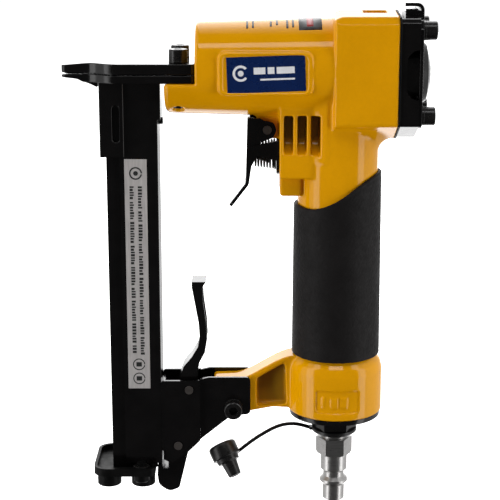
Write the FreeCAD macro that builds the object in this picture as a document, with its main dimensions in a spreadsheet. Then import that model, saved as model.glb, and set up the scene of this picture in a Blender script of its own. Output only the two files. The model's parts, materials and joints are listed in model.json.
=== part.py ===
"""Pneumatic fine-crown tacker (brad nailer family) as a parametric assembly.

Frame: the origin is the centre of the fastener exit in the contact face of the nose. +X runs back along
the driver axis, +Z is up (the handle and the air plug hang down towards -Z) and +Y completes the frame.
The tool is symmetric about Y = 0 except for its screws and labels. All lengths are in millimetres.
"""

import FreeCAD, Part
import Sketcher
import math
import os
import re

from FreeCAD import Placement, Rotation, Vector

doc = FreeCAD.newDocument("BradNailer")
sheet = doc.addObject("Spreadsheet::Sheet", "Dimensions")

DIMENSIONS = {
    # die-cast housing
    "barrel_z": 2.3,
    "barrel_tip_x": 47.0,
    "barrel_step_x": 61.0,
    "barrel_end_x": 126.0,
    "barrel_tip_radius": 20.4,
    "barrel_end_radius": 22.7,
    "barrel_half_width": 21.8,
    "ledge_z": -3.2,
    "pad_x": 71.6,
    "pad_length": 42.1,
    "pad_z": -7.9,
    "pad_height": 19.1,
    "pad_half_width": 22.0,
    "pad_rim": 2.2,
    "pad_depth": 0.6,
    "head_x": 123.5,
    "head_end_x": 152.0,
    "head_half_width": 23.0,
    "head_side_top_z": 24.0,
    "head_side_bottom_z": -21.5,
    "head_shoulder_y": 20.8,
    "head_shoulder_z": 26.6,
    "head_top_z": 28.4,
    "head_bottom_z": -29.6,
    "head_bottom_y": 5.0,
    "head_round": 1.8,
    "grip_x": 126.6,
    "handle_radius": 18.6,
    "handle_bottom_z": -136.0,
    "reservoir_radius": 14.5,
    "reservoir_top_z": -42.0,
    "passage_radius": 8.6,
    "foot_radius": 22.4,
    "foot_top_z": -140.5,
    "foot_bottom_z": -161.2,
    "shoulder_z": -134.0,
    "arm_half_width": 6.9,
    "arm_web_half": 3.0,
    "block_x": 99.2,
    "block_length": 21.0,
    "block_half_width": 16.0,
    "block_bottom_z": -39.5,
    "block_low_length": 14.8,
    "block_low_z": -46.9,
    "lobe_length": 10.4,
    "lobe_half_width": 12.5,
    "lobe_bottom_z": -55.8,
    "pocket_z": -36.3,
    "pocket_top_z": -17.9,
    "pocket_width": 4.3,
    "pocket_pitch": 6.15,
    "pocket_first_x": 101.0,
    "pocket_depth": 10.0,
    "lug_half_width": 5.6,
    # driver, cylinder and head valve
    "channel_half_width": 6.7,
    "channel_depth": 1.1,
    "parting_z": 0.6,
    "blade_half_width": 6.4,
    "blade_thickness": 0.7,
    "blade_tip_x": 42.0,
    "sleeve_radius": 15.6,
    "sleeve_bore": 13.5,
    "sleeve_x": 66.4,
    "sleeve_length": 61.6,
    "bore_radius": 15.7,
    "chamber_radius": 19.0,
    "piston_radius": 13.2,
    "piston_x": 117.0,
    "piston_length": 9.0,
    "bumper_radius": 13.2,
    "bumper_length": 8.0,
    "head_valve_x": 128.3,
    "head_valve_radius": 18.2,
    "head_valve_length": 11.0,
    "exhaust_tube_radius": 7.0,
    "exhaust_bore": 5.0,
    # cap stack
    "gasket_thickness": 0.8,
    "cap_length": 8.3,
    "cap_inset": 0.6,
    "deflector_thickness": 1.6,
    "lip_bend": 1.8,
    "lip_neck": 1.2,
    "lip_half_width": 9.5,
    "dome_radius": 15.5,
    "dome_height": 4.9,
    "cap_bolt_y": 16.0,
    "cap_bolt_top_z": 20.5,
    "cap_bolt_bottom_z": -17.7,
    # metric fasteners
    "m5_radius": 2.5,
    "m5_clearance": 2.7,
    "m5_head_radius": 4.25,
    "m5_head_height": 5.0,
    "m5_socket": 2.3,
    "m5_washer_radius": 4.3,
    "m5_washer": 1.2,
    "m6_radius": 3.0,
    "m6_head_radius": 5.8,
    "m6_head_height": 6.0,
    "m6_socket": 2.9,
    "m4_radius": 2.0,
    "m4_head_radius": 3.6,
    "m4_head_height": 4.0,
    "m4_socket": 1.75,
    # nose plates
    "nose_half_width": 17.0,
    "nose_tip_half_width": 9.0,
    "nose_neck_x": 12.0,
    "nose_wide_x": 25.0,
    "cover_thickness": 5.0,
    "nose_screw_x": 53.3,
    "nose_screw_y": 10.0,
    "nose_screw_length": 21.5,
    # magazine
    "rail_x": 19.6,
    "rail_depth": 21.6,
    "rail_half_width": 8.1,
    "rail_wall": 1.4,
    "rail_top_z": -4.6,
    "rail_bottom_z": -189.6,
    "channel_x": 26.1,
    "channel_back_x": 43.5,
    "channel_half": 9.6,
    "channel_wall": 1.2,
    "channel_bottom_z": -187.0,
    "seat_back_x": 44.9,
    "seat_bottom_z": -20.5,
    "front_x": 17.1,
    "front_back_x": 28.2,
    "front_half": 10.8,
    "front_wall": 1.2,
    "front_bottom_z": -37.5,
    "tray_x": 10.8,
    "tray_end_x": 40.3,
    "tray_half_width": 17.3,
    "tray_floor_z": -189.6,
    "tray_thickness": 1.3,
    "tray_rim_z": -187.0,
    "tray_rim": 1.4,
    "tray_corner": 6.5,
    "end_screw_x": 16.9,
    "end_screw_back_x": 33.5,
    "end_nut_x": 33.6,
    "end_nut_y": -12.0,
    "end_washer": 4.1,
    "rod_x": 31.0,
    "rod_radius": 1.5,
    "rod_top_z": -8.0,
    "pusher_length": 17.0,
    "pusher_half_width": 6.3,
    "pusher_x": 21.6,
    "pusher_end_x": 40.6,
    "pusher_bore": 1.9,
    "pusher_spring_radius": 4.0,
    # bracket and latch
    "plate_outer": 9.8,
    "plate_clamp": 8.3,
    "plate_wall": 1.4,
    "joggle_x": 61.8,
    "web_bottom_z": -180.5,
    "web_top_z": -147.5,
    "bracket_bolt_x": 77.8,
    "bracket_bolt_z": -159.0,
    "stop_pin_x": 56.7,
    "stop_pin_z": -149.8,
    "latch_pin_x": 51.2,
    "latch_pin_z": -178.0,
    "pin_radius": 2.0,
    "pin_stand_out": 0.6,
    "latch_bore": 2.06,
    "lever_half_width": 6.2,
    "lever_wall": 1.4,
    # trigger and valve
    "trigger_pin_x": 93.6,
    "trigger_pin_z": -25.4,
    "trigger_bore": 2.06,
    "trigger_half_width": 7.6,
    "trigger_wall": 1.2,
    "valve_z": -37.4,
    "valve_face_x": 97.9,
    "valve_flange_radius": 8.7,
    "valve_flange": 1.3,
    "guard_gap": 7.8,
    "guard_thickness": 1.0,
    "valve_radius": 6.6,
    "valve_depth": 16.0,
    "valve_bore": 2.6,
    "stem_radius": 2.52,
    "stem_tip_x": 86.0,
    "spring_small_radius": 5.9,
    "spring_large_radius": 7.3,
    "spring_wire": 0.8,
    "spring_start_x": 87.4,
    # grip, end cap, plug and dust cap
    "grip_top_radius": 20.3,
    "grip_bottom_radius": 20.9,
    "grip_bottom_z": -133.2,
    "end_disc_radius": 21.8,
    "end_disc": 2.6,
    "end_hex_radius": 10.95,
    "end_hex": 7.7,
    "end_plug_radius": 17.0,
    "end_plug": 12.0,
    "ring_radius": 10.9,
    "ring_height": 2.6,
    "plug_hex_radius": 8.8,
    "strap_radius": 0.9,
    "dust_cap_radius": 6.9,
    "dust_cap_height": 7.2,
    "dust_stem_radius": 3.6,
    "dust_stem_tip_radius": 3.1,
    "dust_stem": 7.2,
    "dust_tilt": 28.0,
    "dust_lean": 27.0,
    "dust_collar_radius": 5.6,
    "dust_collar": 2.4,
    "dust_top_x": 71.6,
    "dust_top_z": -181.0,
}

for row, (alias, number) in enumerate(DIMENSIONS.items(), start=1):
    sheet.set(f"A{row}", alias.replace("_", " "))
    sheet.set(f"B{row}", str(number))
    sheet.setAlias(f"B{row}", alias)
doc.recompute()

WORD = re.compile(r"[a-z][a-z0-9_]*")
AXES = {
    "X": Rotation(Vector(0, 1, 0), 90),
    "-X": Rotation(Vector(0, 1, 0), -90),
    "Y": Rotation(Vector(1, 0, 0), -90),
    "-Y": Rotation(Vector(1, 0, 0), 90),
    "Z": Rotation(),
    "-Z": Rotation(Vector(1, 0, 0), 180),
}
NODES = []


def cell(alias):
    """The number in the sheet's cell of that alias."""
    return float(sheet.get(alias))


def linked(text):
    """An expression with every alias in it pointed at the sheet."""
    text = str(text)
    return WORD.sub(lambda m: f"Dimensions.{m[0]}" if m[0] in DIMENSIONS else m[0], text)


def bind(thing, **sizes):
    for prop, text in sizes.items():
        thing.setExpression(prop.replace("__", "."), linked(text))
    return thing


def place(thing, x=0, y=0, z=0, axis="Z"):
    thing.Placement = Placement(Vector(), AXES[axis])
    for letter, text in zip("xyz", (x, y, z)):
        thing.setExpression(f"Placement.Base.{letter}", linked(text))
    return thing


def box(x, y, z, length, width, height, name="Block"):
    thing = doc.addObject("Part::Box", name)
    return place(bind(thing, Length=length, Width=width, Height=height), x, y, z)


def wide_box(x, z, length, half_width, height, name="Block"):
    """A box that is symmetric about Y = 0."""
    return box(x, f"-({half_width})", z, length, f"2 * ({half_width})", height, name)


def cylinder(x, y, z, axis, radius, height, name="Round"):
    thing = doc.addObject("Part::Cylinder", name)
    return place(bind(thing, Radius=radius, Height=height), x, y, z, axis)


def cone(x, y, z, axis, start_radius, end_radius, height, name="Taper"):
    thing = doc.addObject("Part::Cone", name)
    return place(bind(thing, Radius1=start_radius, Radius2=end_radius, Height=height), x, y, z, axis)


def hexagon(x, y, z, axis, corner_radius, height, name="Hexagon"):
    thing = doc.addObject("Part::Prism", name)
    thing.Polygon = 6
    return place(bind(thing, Circumradius=corner_radius, Height=height), x, y, z, axis)


def ring(x, y, z, axis, big_radius, wire_radius, name="Ring"):
    thing = doc.addObject("Part::Torus", name)
    return place(bind(thing, Radius1=big_radius, Radius2=wire_radius), x, y, z, axis)


def fuse(parts, name="Joined"):
    if len(parts) == 1:
        return parts[0]
    thing = doc.addObject("Part::MultiFuse", name)
    thing.Shapes = parts
    thing.Refine = True
    return thing


def cut(base, tools, name="Cut"):
    thing = doc.addObject("Part::Cut", name)
    thing.Base = base
    thing.Tool = fuse(tools, "Tools")
    thing.Refine = True
    return thing


def common(first, second, name="Overlap"):
    thing = doc.addObject("Part::Common", name)
    thing.Base = first
    thing.Tool = second
    return thing


def group(parts, name="Group"):
    """Separate solids kept in one node."""
    thing = doc.addObject("Part::Compound", name)
    thing.Links = parts
    return thing


def node(label, thing):
    """Names a finished sub-part."""
    thing.Label = label
    NODES.append(thing)
    return thing


def plane_of(body, role):
    return next(f for f in body.Origin.OriginFeatures if f.Role == role)


def pin_point(sketch, geometry, point, expressions):
    """Ties the start of one line to its two coordinates, each bound to the sheet."""
    for kind, on_axis, value, text in zip(("DistanceX", "DistanceY"), (-2, -1), point, expressions):
        if abs(value) < 1e-9:
            sketch.addConstraint(Sketcher.Constraint("PointOnObject", geometry, 1, on_axis))
            continue
        index = sketch.addConstraint(Sketcher.Constraint(kind, -1, 1, geometry, 1, value))
        sketch.setExpression(f"Constraints[{index}]", linked(text))


def store_outline(label, outline):
    """Gives every bare number of an outline a cell of its own; expressions stay as they are."""
    named = []
    for index, point in enumerate(outline):
        texts = []
        for letter, value in zip("uv", point):
            if isinstance(value, str):
                texts.append(value)
                continue
            alias = f"{label}_{letter}{index}_at"
            DIMENSIONS[alias] = value
            row = len(DIMENSIONS)
            sheet.set(f"A{row}", alias.replace("_", " "))
            sheet.set(f"B{row}", str(value))
            sheet.setAlias(f"B{row}", alias)
            texts.append(alias)
        named.append(tuple(texts))
    doc.recompute()
    return named


def value_of(body, text):
    """The number that an expression over the sheet gives."""
    return float(body.evalExpression(linked(text)))


def plate(label, role, outline, length, start=0, midplane=False, rounds=()):
    """A padded outline. Rounds are (radius, corner numbers) pairs: they round those upright corners."""
    named = store_outline(label, outline)
    body = doc.addObject("PartDesign::Body", label + "_body")
    sketch = body.newObject("Sketcher::SketchObject", label + "_sketch")
    sketch.AttachmentSupport = [(plane_of(body, role), "")]
    sketch.MapMode = "FlatFace"
    points = [tuple(value_of(body, text) for text in texts) for texts in named]
    count = len(points)
    for index in range(count):
        first = Vector(*points[index], 0)
        second = Vector(*points[(index + 1) % count], 0)
        sketch.addGeometry(Part.LineSegment(first, second))
    for index in range(count):
        sketch.addConstraint(Sketcher.Constraint("Coincident", index, 2, (index + 1) % count, 1))
    for index in range(count):
        pin_point(sketch, index, points[index], named[index])
    pad = body.newObject("PartDesign::Pad", label + "_pad")
    pad.Profile = sketch
    pad.SideType = "Symmetric" if midplane else "One side"
    pad.setExpression("Length", linked(length))
    axis = {"XY_Plane": 2, "XZ_Plane": 1, "YZ_Plane": 0}[role]
    letter = "xyz"[axis]
    body.setExpression(f"Placement.Base.{letter}", linked(start))
    doc.recompute()
    tip = pad
    for index, (radius, test) in enumerate(rounds):
        edges = upright_edges(tip.Shape, axis, points, test)
        if not edges:
            continue
        rounding = body.newObject("PartDesign::Fillet", f"{label}_round_{index}")
        rounding.Base = (tip, edges)
        rounding.setExpression("Radius", linked(radius))
        doc.recompute()
        tip = rounding
    body.Tip = tip
    return body


def upright_edges(shape, axis, points, test):
    """Names of the straight edges along the pad's direction whose corner number is in test."""
    found = []
    across = [i for i in range(3) if i != axis]
    for number, edge in enumerate(shape.Edges, start=1):
        if len(edge.Vertexes) != 2 or not isinstance(edge.Curve, Part.Line):
            continue
        one, two = edge.Vertexes[0].Point, edge.Vertexes[1].Point
        if any(abs(one[i] - two[i]) > 1e-6 for i in across):
            continue
        for corner in test:
            spot = points[corner]
            if all(abs(one[i] - spot[n]) < 1e-3 for n, i in enumerate(across)):
                found.append(f"Edge{number}")
    return found


def socket_screw(size, x, y, z, axis, length):
    """A hexagon-socket cap screw: z is the underside of its head and the thread runs along the axis."""
    back = "-" + axis if not axis.startswith("-") else axis[1:]
    sign = -1 if axis.startswith("-") else 1
    direction = {"X": (1, 0, 0), "Y": (0, 1, 0), "Z": (0, 0, 1)}[axis.strip("-")]
    deep = f"{size}_head_height * 0.55"
    reach = [f"({spot}) - {sign * unit} * {size}_head_height" for spot, unit in zip((x, y, z), direction)]
    head = cylinder(x, y, z, back, f"{size}_head_radius", f"{size}_head_height - 0.4")
    rim = [f"{spot} + {sign * unit} * 0.4" for spot, unit in zip(reach, direction)]
    crown = cone(
        *rim,
        back,
        f"{size}_head_radius",
        f"{size}_head_radius - 0.4",
        0.4,
    )
    thread = cylinder(x, y, z, axis, f"{size}_radius", length)
    socket = hexagon(*reach, axis, f"{size}_socket", deep)
    return cut(fuse([head, crown, thread]), [socket], "Screw")


def washer(x, y, z, axis, outer, inner, thickness):
    return cut(
        cylinder(x, y, z, axis, outer, thickness),
        [cylinder(x, y, z, axis, inner, thickness)],
        "Washer",
    )


def tube(x, y, z, axis, outer, inner, length, name="Tube"):
    return cut(
        cylinder(x, y, z, axis, outer, length),
        [cylinder(x, y, z, axis, inner, length)],
        name,
    )


def stack(x, y, z, axis, steps, name="Turned"):
    """A turned piece from (start radius, end radius, height) steps along the axis."""
    direction = {"X": (1, 0, 0), "Y": (0, 1, 0), "Z": (0, 0, 1)}[axis.strip("-")]
    sign = -1 if axis.startswith("-") else 1
    parts = []
    run = "0"
    for first, second, height in steps:
        spot = [f"({s}) + {sign * unit} * ({run})" for s, unit in zip((x, y, z), direction)]
        if first == second:
            parts.append(cylinder(*spot, axis, first, height))
        else:
            parts.append(cone(*spot, axis, first, second, height))
        run = f"{run} + {height}"
    return fuse(parts, name)


BOLT_SPOTS = [
    (sign * 1, level) for level in ("cap_bolt_top_z", "cap_bolt_bottom_z") for sign in (-1, 1)
]


def head_outline(inset=0):
    """The head's cross-section: flat sides, a low crown on top and a keel below."""
    right = [
        (f"head_half_width - {inset}", "head_side_bottom_z"),
        (f"head_half_width - {inset}", "head_side_top_z"),
        (f"head_shoulder_y - {inset}", f"head_shoulder_z - {inset}"),
    ]
    top = [("0", f"head_top_z - {inset}")]
    left = [(f"-({y})", z) for y, z in reversed(right)]
    keel = [
        ("-head_bottom_y", f"head_bottom_z + {inset}"),
        ("head_bottom_y", f"head_bottom_z + {inset}"),
    ]
    return right + top + left + keel


def head_slab(label, start, length, inset=0):
    outline = head_outline(inset)
    rounds = [("head_round", (0, 1, 2, 4, 5, 6, 7, 8))]
    return plate(label, "YZ_Plane", outline, length, start, rounds=rounds)


def bolt_holes(x, length, radius="m5_clearance"):
    return [cylinder(x, f"{side} * cap_bolt_y", level, "X", radius, length) for side, level in BOLT_SPOTS]


def build_housing():
    barrel = cone(
        "barrel_tip_x",
        0,
        "barrel_z",
        "X",
        "barrel_tip_radius",
        "barrel_end_radius",
        "barrel_end_x - barrel_tip_x",
    )
    slab = wide_box("barrel_tip_x", -30, 90, "barrel_half_width", 60)
    barrel = common(barrel, slab, "Barrel")
    step = wide_box("barrel_tip_x - 1", "ledge_z", "barrel_step_x - barrel_tip_x + 1", 30, 40)
    barrel = cut(barrel, [step], "SteppedBarrel")
    pad = wide_box("pad_x", "pad_z", "pad_length", "pad_half_width", "pad_height")
    head = head_slab("head", "head_x", "head_end_x - head_x")
    handle = cylinder("grip_x", 0, "handle_bottom_z", "Z", "handle_radius", "-10 - handle_bottom_z")
    block = plate(
        "block",
        "XZ_Plane",
        [
            ("block_x", -10),
            ("block_x", "block_low_z"),
            ("block_x + block_low_length", "block_low_z"),
            ("block_x + block_low_length", "block_bottom_z"),
            ("block_x + block_length", "block_bottom_z"),
            ("block_x + block_length", -10),
        ],
        "2 * block_half_width",
        midplane=True,
        rounds=[("1.6", (1, 2, 4))],
    )
    lobe = plate(
        "lobe",
        "XZ_Plane",
        [
            ("block_x + 0.2", -40),
            ("block_x + 0.2", "lobe_bottom_z"),
            ("block_x + lobe_length", "lobe_bottom_z"),
            ("block_x + lobe_length", -40),
        ],
        "2 * lobe_half_width",
        midplane=True,
        rounds=[("2.5", (1,))],
    )
    lug = plate(
        "lug",
        "XZ_Plane",
        [(88.6, -14.0), (88.6, -22.5), (91.4, -29.4), (101.0, -29.8), (101.0, -14.0)],
        "2 * lug_half_width",
        midplane=True,
        rounds=[("2.5", (2,))],
    )
    shoulder = cone(
        "grip_x", 0, "shoulder_z", "-Z", "handle_radius", "foot_radius", "shoulder_z - foot_top_z"
    )
    foot = cylinder("grip_x", 0, "foot_top_z", "-Z", "foot_radius", "foot_top_z - foot_bottom_z")
    arm = plate(
        "arm",
        "XZ_Plane",
        [
            (110.0, -133.3),
            (104.4, -134.0),
            (97.4, -136.9),
            (91.4, -140.2),
            (86.6, -143.0),
            (82.5, -145.0),
            (68.3, -145.6),
            (68.3, -163.4),
            (86.0, -161.4),
            (96.5, -159.4),
            (110.0, -160.2),
        ],
        "2 * arm_half_width",
        midplane=True,
        rounds=[("2", (6, 7)), ("4", (5,))],
    )
    solid = fuse([barrel, pad, head, handle, block, lobe, lug, shoulder, foot, arm], "CastingSolid")
    tools = []
    for side in (-1, 1):
        tools.append(
            box(
                "pad_x + pad_rim",
                f"{side} * (pad_half_width - pad_depth / 2) - pad_depth / 2 * 1.0001",
                "pad_z + pad_rim",
                "pad_length - 2 * pad_rim",
                "pad_depth * 1.0002",
                "pad_height - 2 * pad_rim",
            )
        )
        for number in range(3):
            tools.append(
                box(
                    f"pocket_first_x + {number} * pocket_pitch",
                    f"{side} * (block_half_width + 4 - pocket_depth / 2) - pocket_depth / 2 - 2",
                    "pocket_z",
                    "pocket_width",
                    "pocket_depth + 4",
                    "pocket_top_z - pocket_z",
                )
            )
        tools.append(cylinder("nose_screw_x", f"{side} * nose_screw_y", "-40", "Z", "m5_radius", 60))
        window = plate(
            f"window_{'near' if side < 0 else 'far'}",
            "XZ_Plane",
            [(89.0, -145.0), (102.4, -137.2), (103.2, -158.0), (89.0, -159.2)],
            "arm_half_width - arm_web_half + 1",
            rounds=[("1.2", (0, 1, 2, 3))],
        )
        window.setExpression(
            "Placement.Base.y",
            linked("-arm_web_half" if side < 0 else "arm_half_width + 1"),
        )
        tools.append(window)
    tools += bolt_holes("head_end_x - 14", 20, "m5_radius")
    tools.append(cylinder("sleeve_x - 0.4", 0, 0, "X", "bore_radius", 80))
    tools.append(cylinder("head_valve_x - 0.3", 0, 0, "X", "chamber_radius", 40))
    tools.append(
        wide_box(
            "barrel_step_x - 20",
            "-channel_depth - 1",
            40,
            "channel_half_width + 0.5",
            "2 * channel_depth + 2",
        )
    )
    reservoir_height = "reservoir_top_z - foot_bottom_z + 1"
    tools.append(cylinder("grip_x", 0, "foot_bottom_z - 1", "Z", "reservoir_radius", reservoir_height))
    passage_height = "-9 - reservoir_top_z + 10"
    tools.append(cylinder("grip_x", 0, "reservoir_top_z - 10", "Z", "passage_radius", passage_height))
    tools.append(
        cylinder("grip_x", 0, "foot_bottom_z - 1", "Z", "end_plug_radius + 0.05", "end_plug + 1.5")
    )
    tools.append(cylinder("valve_face_x", 0, "valve_z", "X", "valve_radius + 0.05", "valve_depth + 2"))
    tools.append(cylinder("trigger_pin_x", -20, "trigger_pin_z", "Y", "pin_radius + 0.05", 40))
    tools.append(cylinder("bracket_bolt_x", -20, "bracket_bolt_z", "Y", "m5_clearance", 40))
    tools.append(box(136.8, -7.7, "head_top_z - 3.6", 10.5, 8.1, 5, "TopSlot"))
    node("housing", cut(solid, tools, "Housing"))


def build_cylinder_parts():
    sleeve = tube("sleeve_x", 0, 0, "X", "sleeve_radius", "sleeve_bore", "sleeve_length")
    grooves = []
    ring_spots = ["sleeve_x + 6", "sleeve_x + 50"]
    for spot in ring_spots:
        grooves.append(tube(spot, 0, 0, "X", "sleeve_radius + 1", "sleeve_radius - 1", 2))
    node("cylinder_sleeve", cut(sleeve, grooves, "Sleeve"))
    seals = [ring(f"{spot} + 1", 0, 0, "X", "sleeve_radius - 0.45", 0.5) for spot in ring_spots]
    node("sleeve_o_rings", group(seals))
    slot = wide_box(
        "sleeve_x - 1", "-channel_depth - 0.4", 20, "channel_half_width + 0.3", "2 * channel_depth + 0.8"
    )
    node("bumper", cut(cylinder("sleeve_x", 0, 0, "X", "bumper_radius", "bumper_length"), [slot], "Bumper"))
    piston = stack(
        "piston_x",
        0,
        0,
        "X",
        [("piston_radius - 1", "piston_radius", 1), ("piston_radius", "piston_radius", "piston_length - 1")],
    )
    groove = tube("piston_x + 4", 0, 0, "X", "piston_radius + 1", "piston_radius - 1.4", 2.2)
    socket = wide_box("piston_x - 1", "-blade_thickness / 2", 6, "blade_half_width", "blade_thickness")
    node("piston", cut(piston, [groove, socket], "Piston"))
    node("piston_o_ring", ring("piston_x + 5.1", 0, 0, "X", "piston_radius - 0.75", 0.62))
    blade = wide_box(
        "blade_tip_x",
        "-blade_thickness / 2",
        "piston_x + 5 - blade_tip_x",
        "blade_half_width",
        "blade_thickness",
    )
    node("driver_blade", blade)


def build_head_valve():
    valve = tube(
        "head_valve_x", 0, 0, "X", "head_valve_radius", "exhaust_tube_radius + 0.08", "head_valve_length"
    )
    groove = tube("head_valve_x + 4", 0, 0, "X", "head_valve_radius + 1", "head_valve_radius - 0.9", 2.4)
    well = tube("head_valve_x + 7", 0, 0, "X", 13.4, 9.6, 10)
    node("head_valve", cut(valve, [groove, well], "HeadValve"))
    node("head_valve_o_ring", ring("head_valve_x + 5.2", 0, 0, "X", "head_valve_radius - 0.2", 0.65))
    spring_length = "head_end_x + gasket_thickness + 2.9 - head_valve_x - 7.1"
    node("head_valve_spring", tube("head_valve_x + 7.1", 0, 0, "X", 12.6, 10.4, spring_length))


def build_cap_stack():
    cap_x = "head_end_x + gasket_thickness"
    opening = cylinder("head_end_x - 1", 0, 0, "X", "chamber_radius", 3)
    gasket = head_slab("gasket", "head_end_x", "gasket_thickness")
    node("cap_gasket", cut(gasket, [opening] + bolt_holes("head_end_x - 1", 3), "Gasket"))
    slab = head_slab("cap", cap_x, "cap_length", "cap_inset")
    guide = cylinder(f"{cap_x} - 18", 0, 0, "X", "exhaust_tube_radius", 20)
    pocket = tube(cap_x, 0, 0, "X", "chamber_radius - 0.5", "exhaust_tube_radius", 3)
    bore = cylinder(f"{cap_x} - 19", 0, 0, "X", "exhaust_bore", 40)
    hollow = cylinder(f"{cap_x} + cap_length - 3.5", 0, 0, "X", 13, 10)
    notch_x = f"{cap_x} + cap_length - 5.7"
    notch = plate(
        "cap_notch",
        "XZ_Plane",
        [(notch_x, -9.9), (notch_x, 12.3), (f"{notch_x} + 12", 12.3), (f"{notch_x} + 12", -9.9)],
        "2 * head_half_width + 4",
        midplane=True,
        rounds=[("5.2", (0, 1))],
    )
    keep = cylinder(f"{notch_x} - 1", 0, 0, "X", 20.5, 16)
    recess = cut(notch, [keep], "SideRecess")
    body = cut(slab, [pocket, recess], "CapBody")
    outlet = wide_box(f"{cap_x} + 2.6", 22, "cap_length - 2.6", "lip_half_width", 7.6, "OutletBoss")
    cap = cut(fuse([body, guide, outlet]), [bore, hollow] + bolt_holes(f"{cap_x} - 1", 20), "Cap")
    node("cylinder_cap", cap)
    face_x = f"{cap_x} + cap_length"
    deflector = plate(
        "deflector",
        "YZ_Plane",
        [
            (21.0, -21.6),
            (21.0, 21.0),
            (17.5, 25.2),
            (9.5, 25.6),
            (9.5, 28.9),
            (-9.5, 28.9),
            (-9.5, 25.6),
            (-17.5, 25.2),
            (-21.0, 21.0),
            (-21.0, -21.6),
            (-17.5, -23.2),
            (17.5, -23.2),
        ],
        "deflector_thickness",
        face_x,
        rounds=[("2.5", (1, 2, 7, 8)), ("3", (0, 9))],
    )
    thickness = "deflector_thickness"
    shell = stack(
        f"{face_x} + {thickness}",
        0,
        0.3,
        "X",
        [
            ("dome_radius", "dome_radius - 2.4", "dome_height - 1.6"),
            ("dome_radius - 2.4", "dome_radius - 7.5", 1.6),
        ],
    )
    inside = stack(
        f"{face_x} - 0.1",
        0,
        0.3,
        "X",
        [
            ("dome_radius - 1.6", "dome_radius - 4", "dome_height"),
            ("dome_radius - 4", "dome_radius - 8.6", 0.2),
        ],
    )
    bend_x = f"{face_x} + lip_neck - lip_bend"
    lip_width = "2 * lip_half_width"
    neck = wide_box(face_x, 24.6, "deflector_thickness + lip_neck", "lip_half_width", 4.3, "LipNeck")
    bend = tube(bend_x, "-lip_half_width", 28.9, "Y", "deflector_thickness + lip_bend", "lip_bend", lip_width)
    quarter = wide_box(bend_x, 28.9, 5, "lip_half_width + 1", 5)
    bend = common(bend, quarter, "LipBend")
    lip = wide_box(155.2, "28.9 + lip_bend", f"{bend_x} - 155.2", "lip_half_width", "deflector_thickness")
    sheet_part = fuse([deflector, shell, neck, bend, lip], "DeflectorSolid")
    holes = [inside] + bolt_holes(f"{face_x} - 2", 6)
    node("exhaust_deflector", cut(sheet_part, holes, "Deflector"))
    seat_x = f"{face_x} + {thickness}"
    washers = [
        washer(seat_x, f"{side} * cap_bolt_y", level, "X", "m5_washer_radius", "m5_clearance", "m5_washer")
        for side, level in BOLT_SPOTS
    ]
    node("cap_lock_washers", group(washers))
    bolts = [
        socket_screw("m5", f"{seat_x} + m5_washer", f"{side} * cap_bolt_y", level, "-X", 25)
        for side, level in BOLT_SPOTS
    ]
    node("cap_bolts", group(bolts))


def nose_outline():
    right = [
        ("0", "nose_tip_half_width - 2"),
        ("2", "nose_tip_half_width"),
        ("nose_neck_x", "nose_tip_half_width"),
        ("nose_neck_x + 4", "nose_tip_half_width + 2"),
        ("nose_wide_x - 4", "nose_half_width - 2"),
        ("nose_wide_x", "nose_half_width"),
        ("barrel_step_x - 0.1", "nose_half_width"),
    ]
    left = [(x, f"-({y})") for x, y in reversed(right)]
    return right + left


def build_nose():
    rounds = [("6", (3, 4, 9, 10)), ("4", (2, 5, 8, 11))]
    cover = plate("cover", "XY_Plane", nose_outline(), "cover_thickness", "parting_z", rounds=rounds)
    bevel = plate(
        "bevel",
        "XZ_Plane",
        [(-1.0, 4.4), (-1.0, 8.0), (14.0, 8.0), (14.0, "parting_z + cover_thickness")],
        40,
        midplane=True,
    )
    holes = [
        cylinder("nose_screw_x", f"{side} * nose_screw_y", "ledge_z - 1", "Z", "m5_clearance", 20)
        for side in (-1, 1)
    ]
    node("nose_cover", cut(cover, [bevel] + holes, "Cover"))
    base = plate("guide", "XY_Plane", nose_outline(), "parting_z - ledge_z", "ledge_z", rounds=rounds)
    wedge = plate(
        "wedge",
        "XZ_Plane",
        [(-1.0, -0.9), (4.3, -1.5), (7.4, -1.9), (10.0, -3.3), (10.0, -6.0), (-1.0, -6.0)],
        40,
        midplane=True,
    )
    toe = plate(
        "toe",
        "XZ_Plane",
        [(8.5, -2.4), (13.5, -4.3), (16.7, -5.9), (16.7, -2.4)],
        "2 * nose_tip_half_width",
        midplane=True,
    )
    track = wide_box(-1, "parting_z - channel_depth", 70, "channel_half_width", 4)
    feed = wide_box("rail_x + rail_wall", -10, "rail_depth - rail_wall", "channel_half_width", 20)
    holes = [
        cylinder("nose_screw_x", f"{side} * nose_screw_y", "ledge_z - 1", "Z", "m5_clearance", 20)
        for side in (-1, 1)
    ]
    node("driver_guide", cut(fuse([cut(base, [wedge]), toe]), [track, feed] + holes, "Guide"))
    top = "parting_z + cover_thickness"
    washers = []
    screws = []
    for side in (-1, 1):
        across = f"{side} * nose_screw_y"
        washers.append(
            washer("nose_screw_x", across, top, "Z", "m5_washer_radius", "m5_clearance", "m5_washer")
        )
        screws.append(
            socket_screw("m5", "nose_screw_x", across, f"{top} + m5_washer", "-Z", "nose_screw_length")
        )
    node("nose_lock_washers", group(washers))
    node("nose_screws", group(screws))


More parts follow.
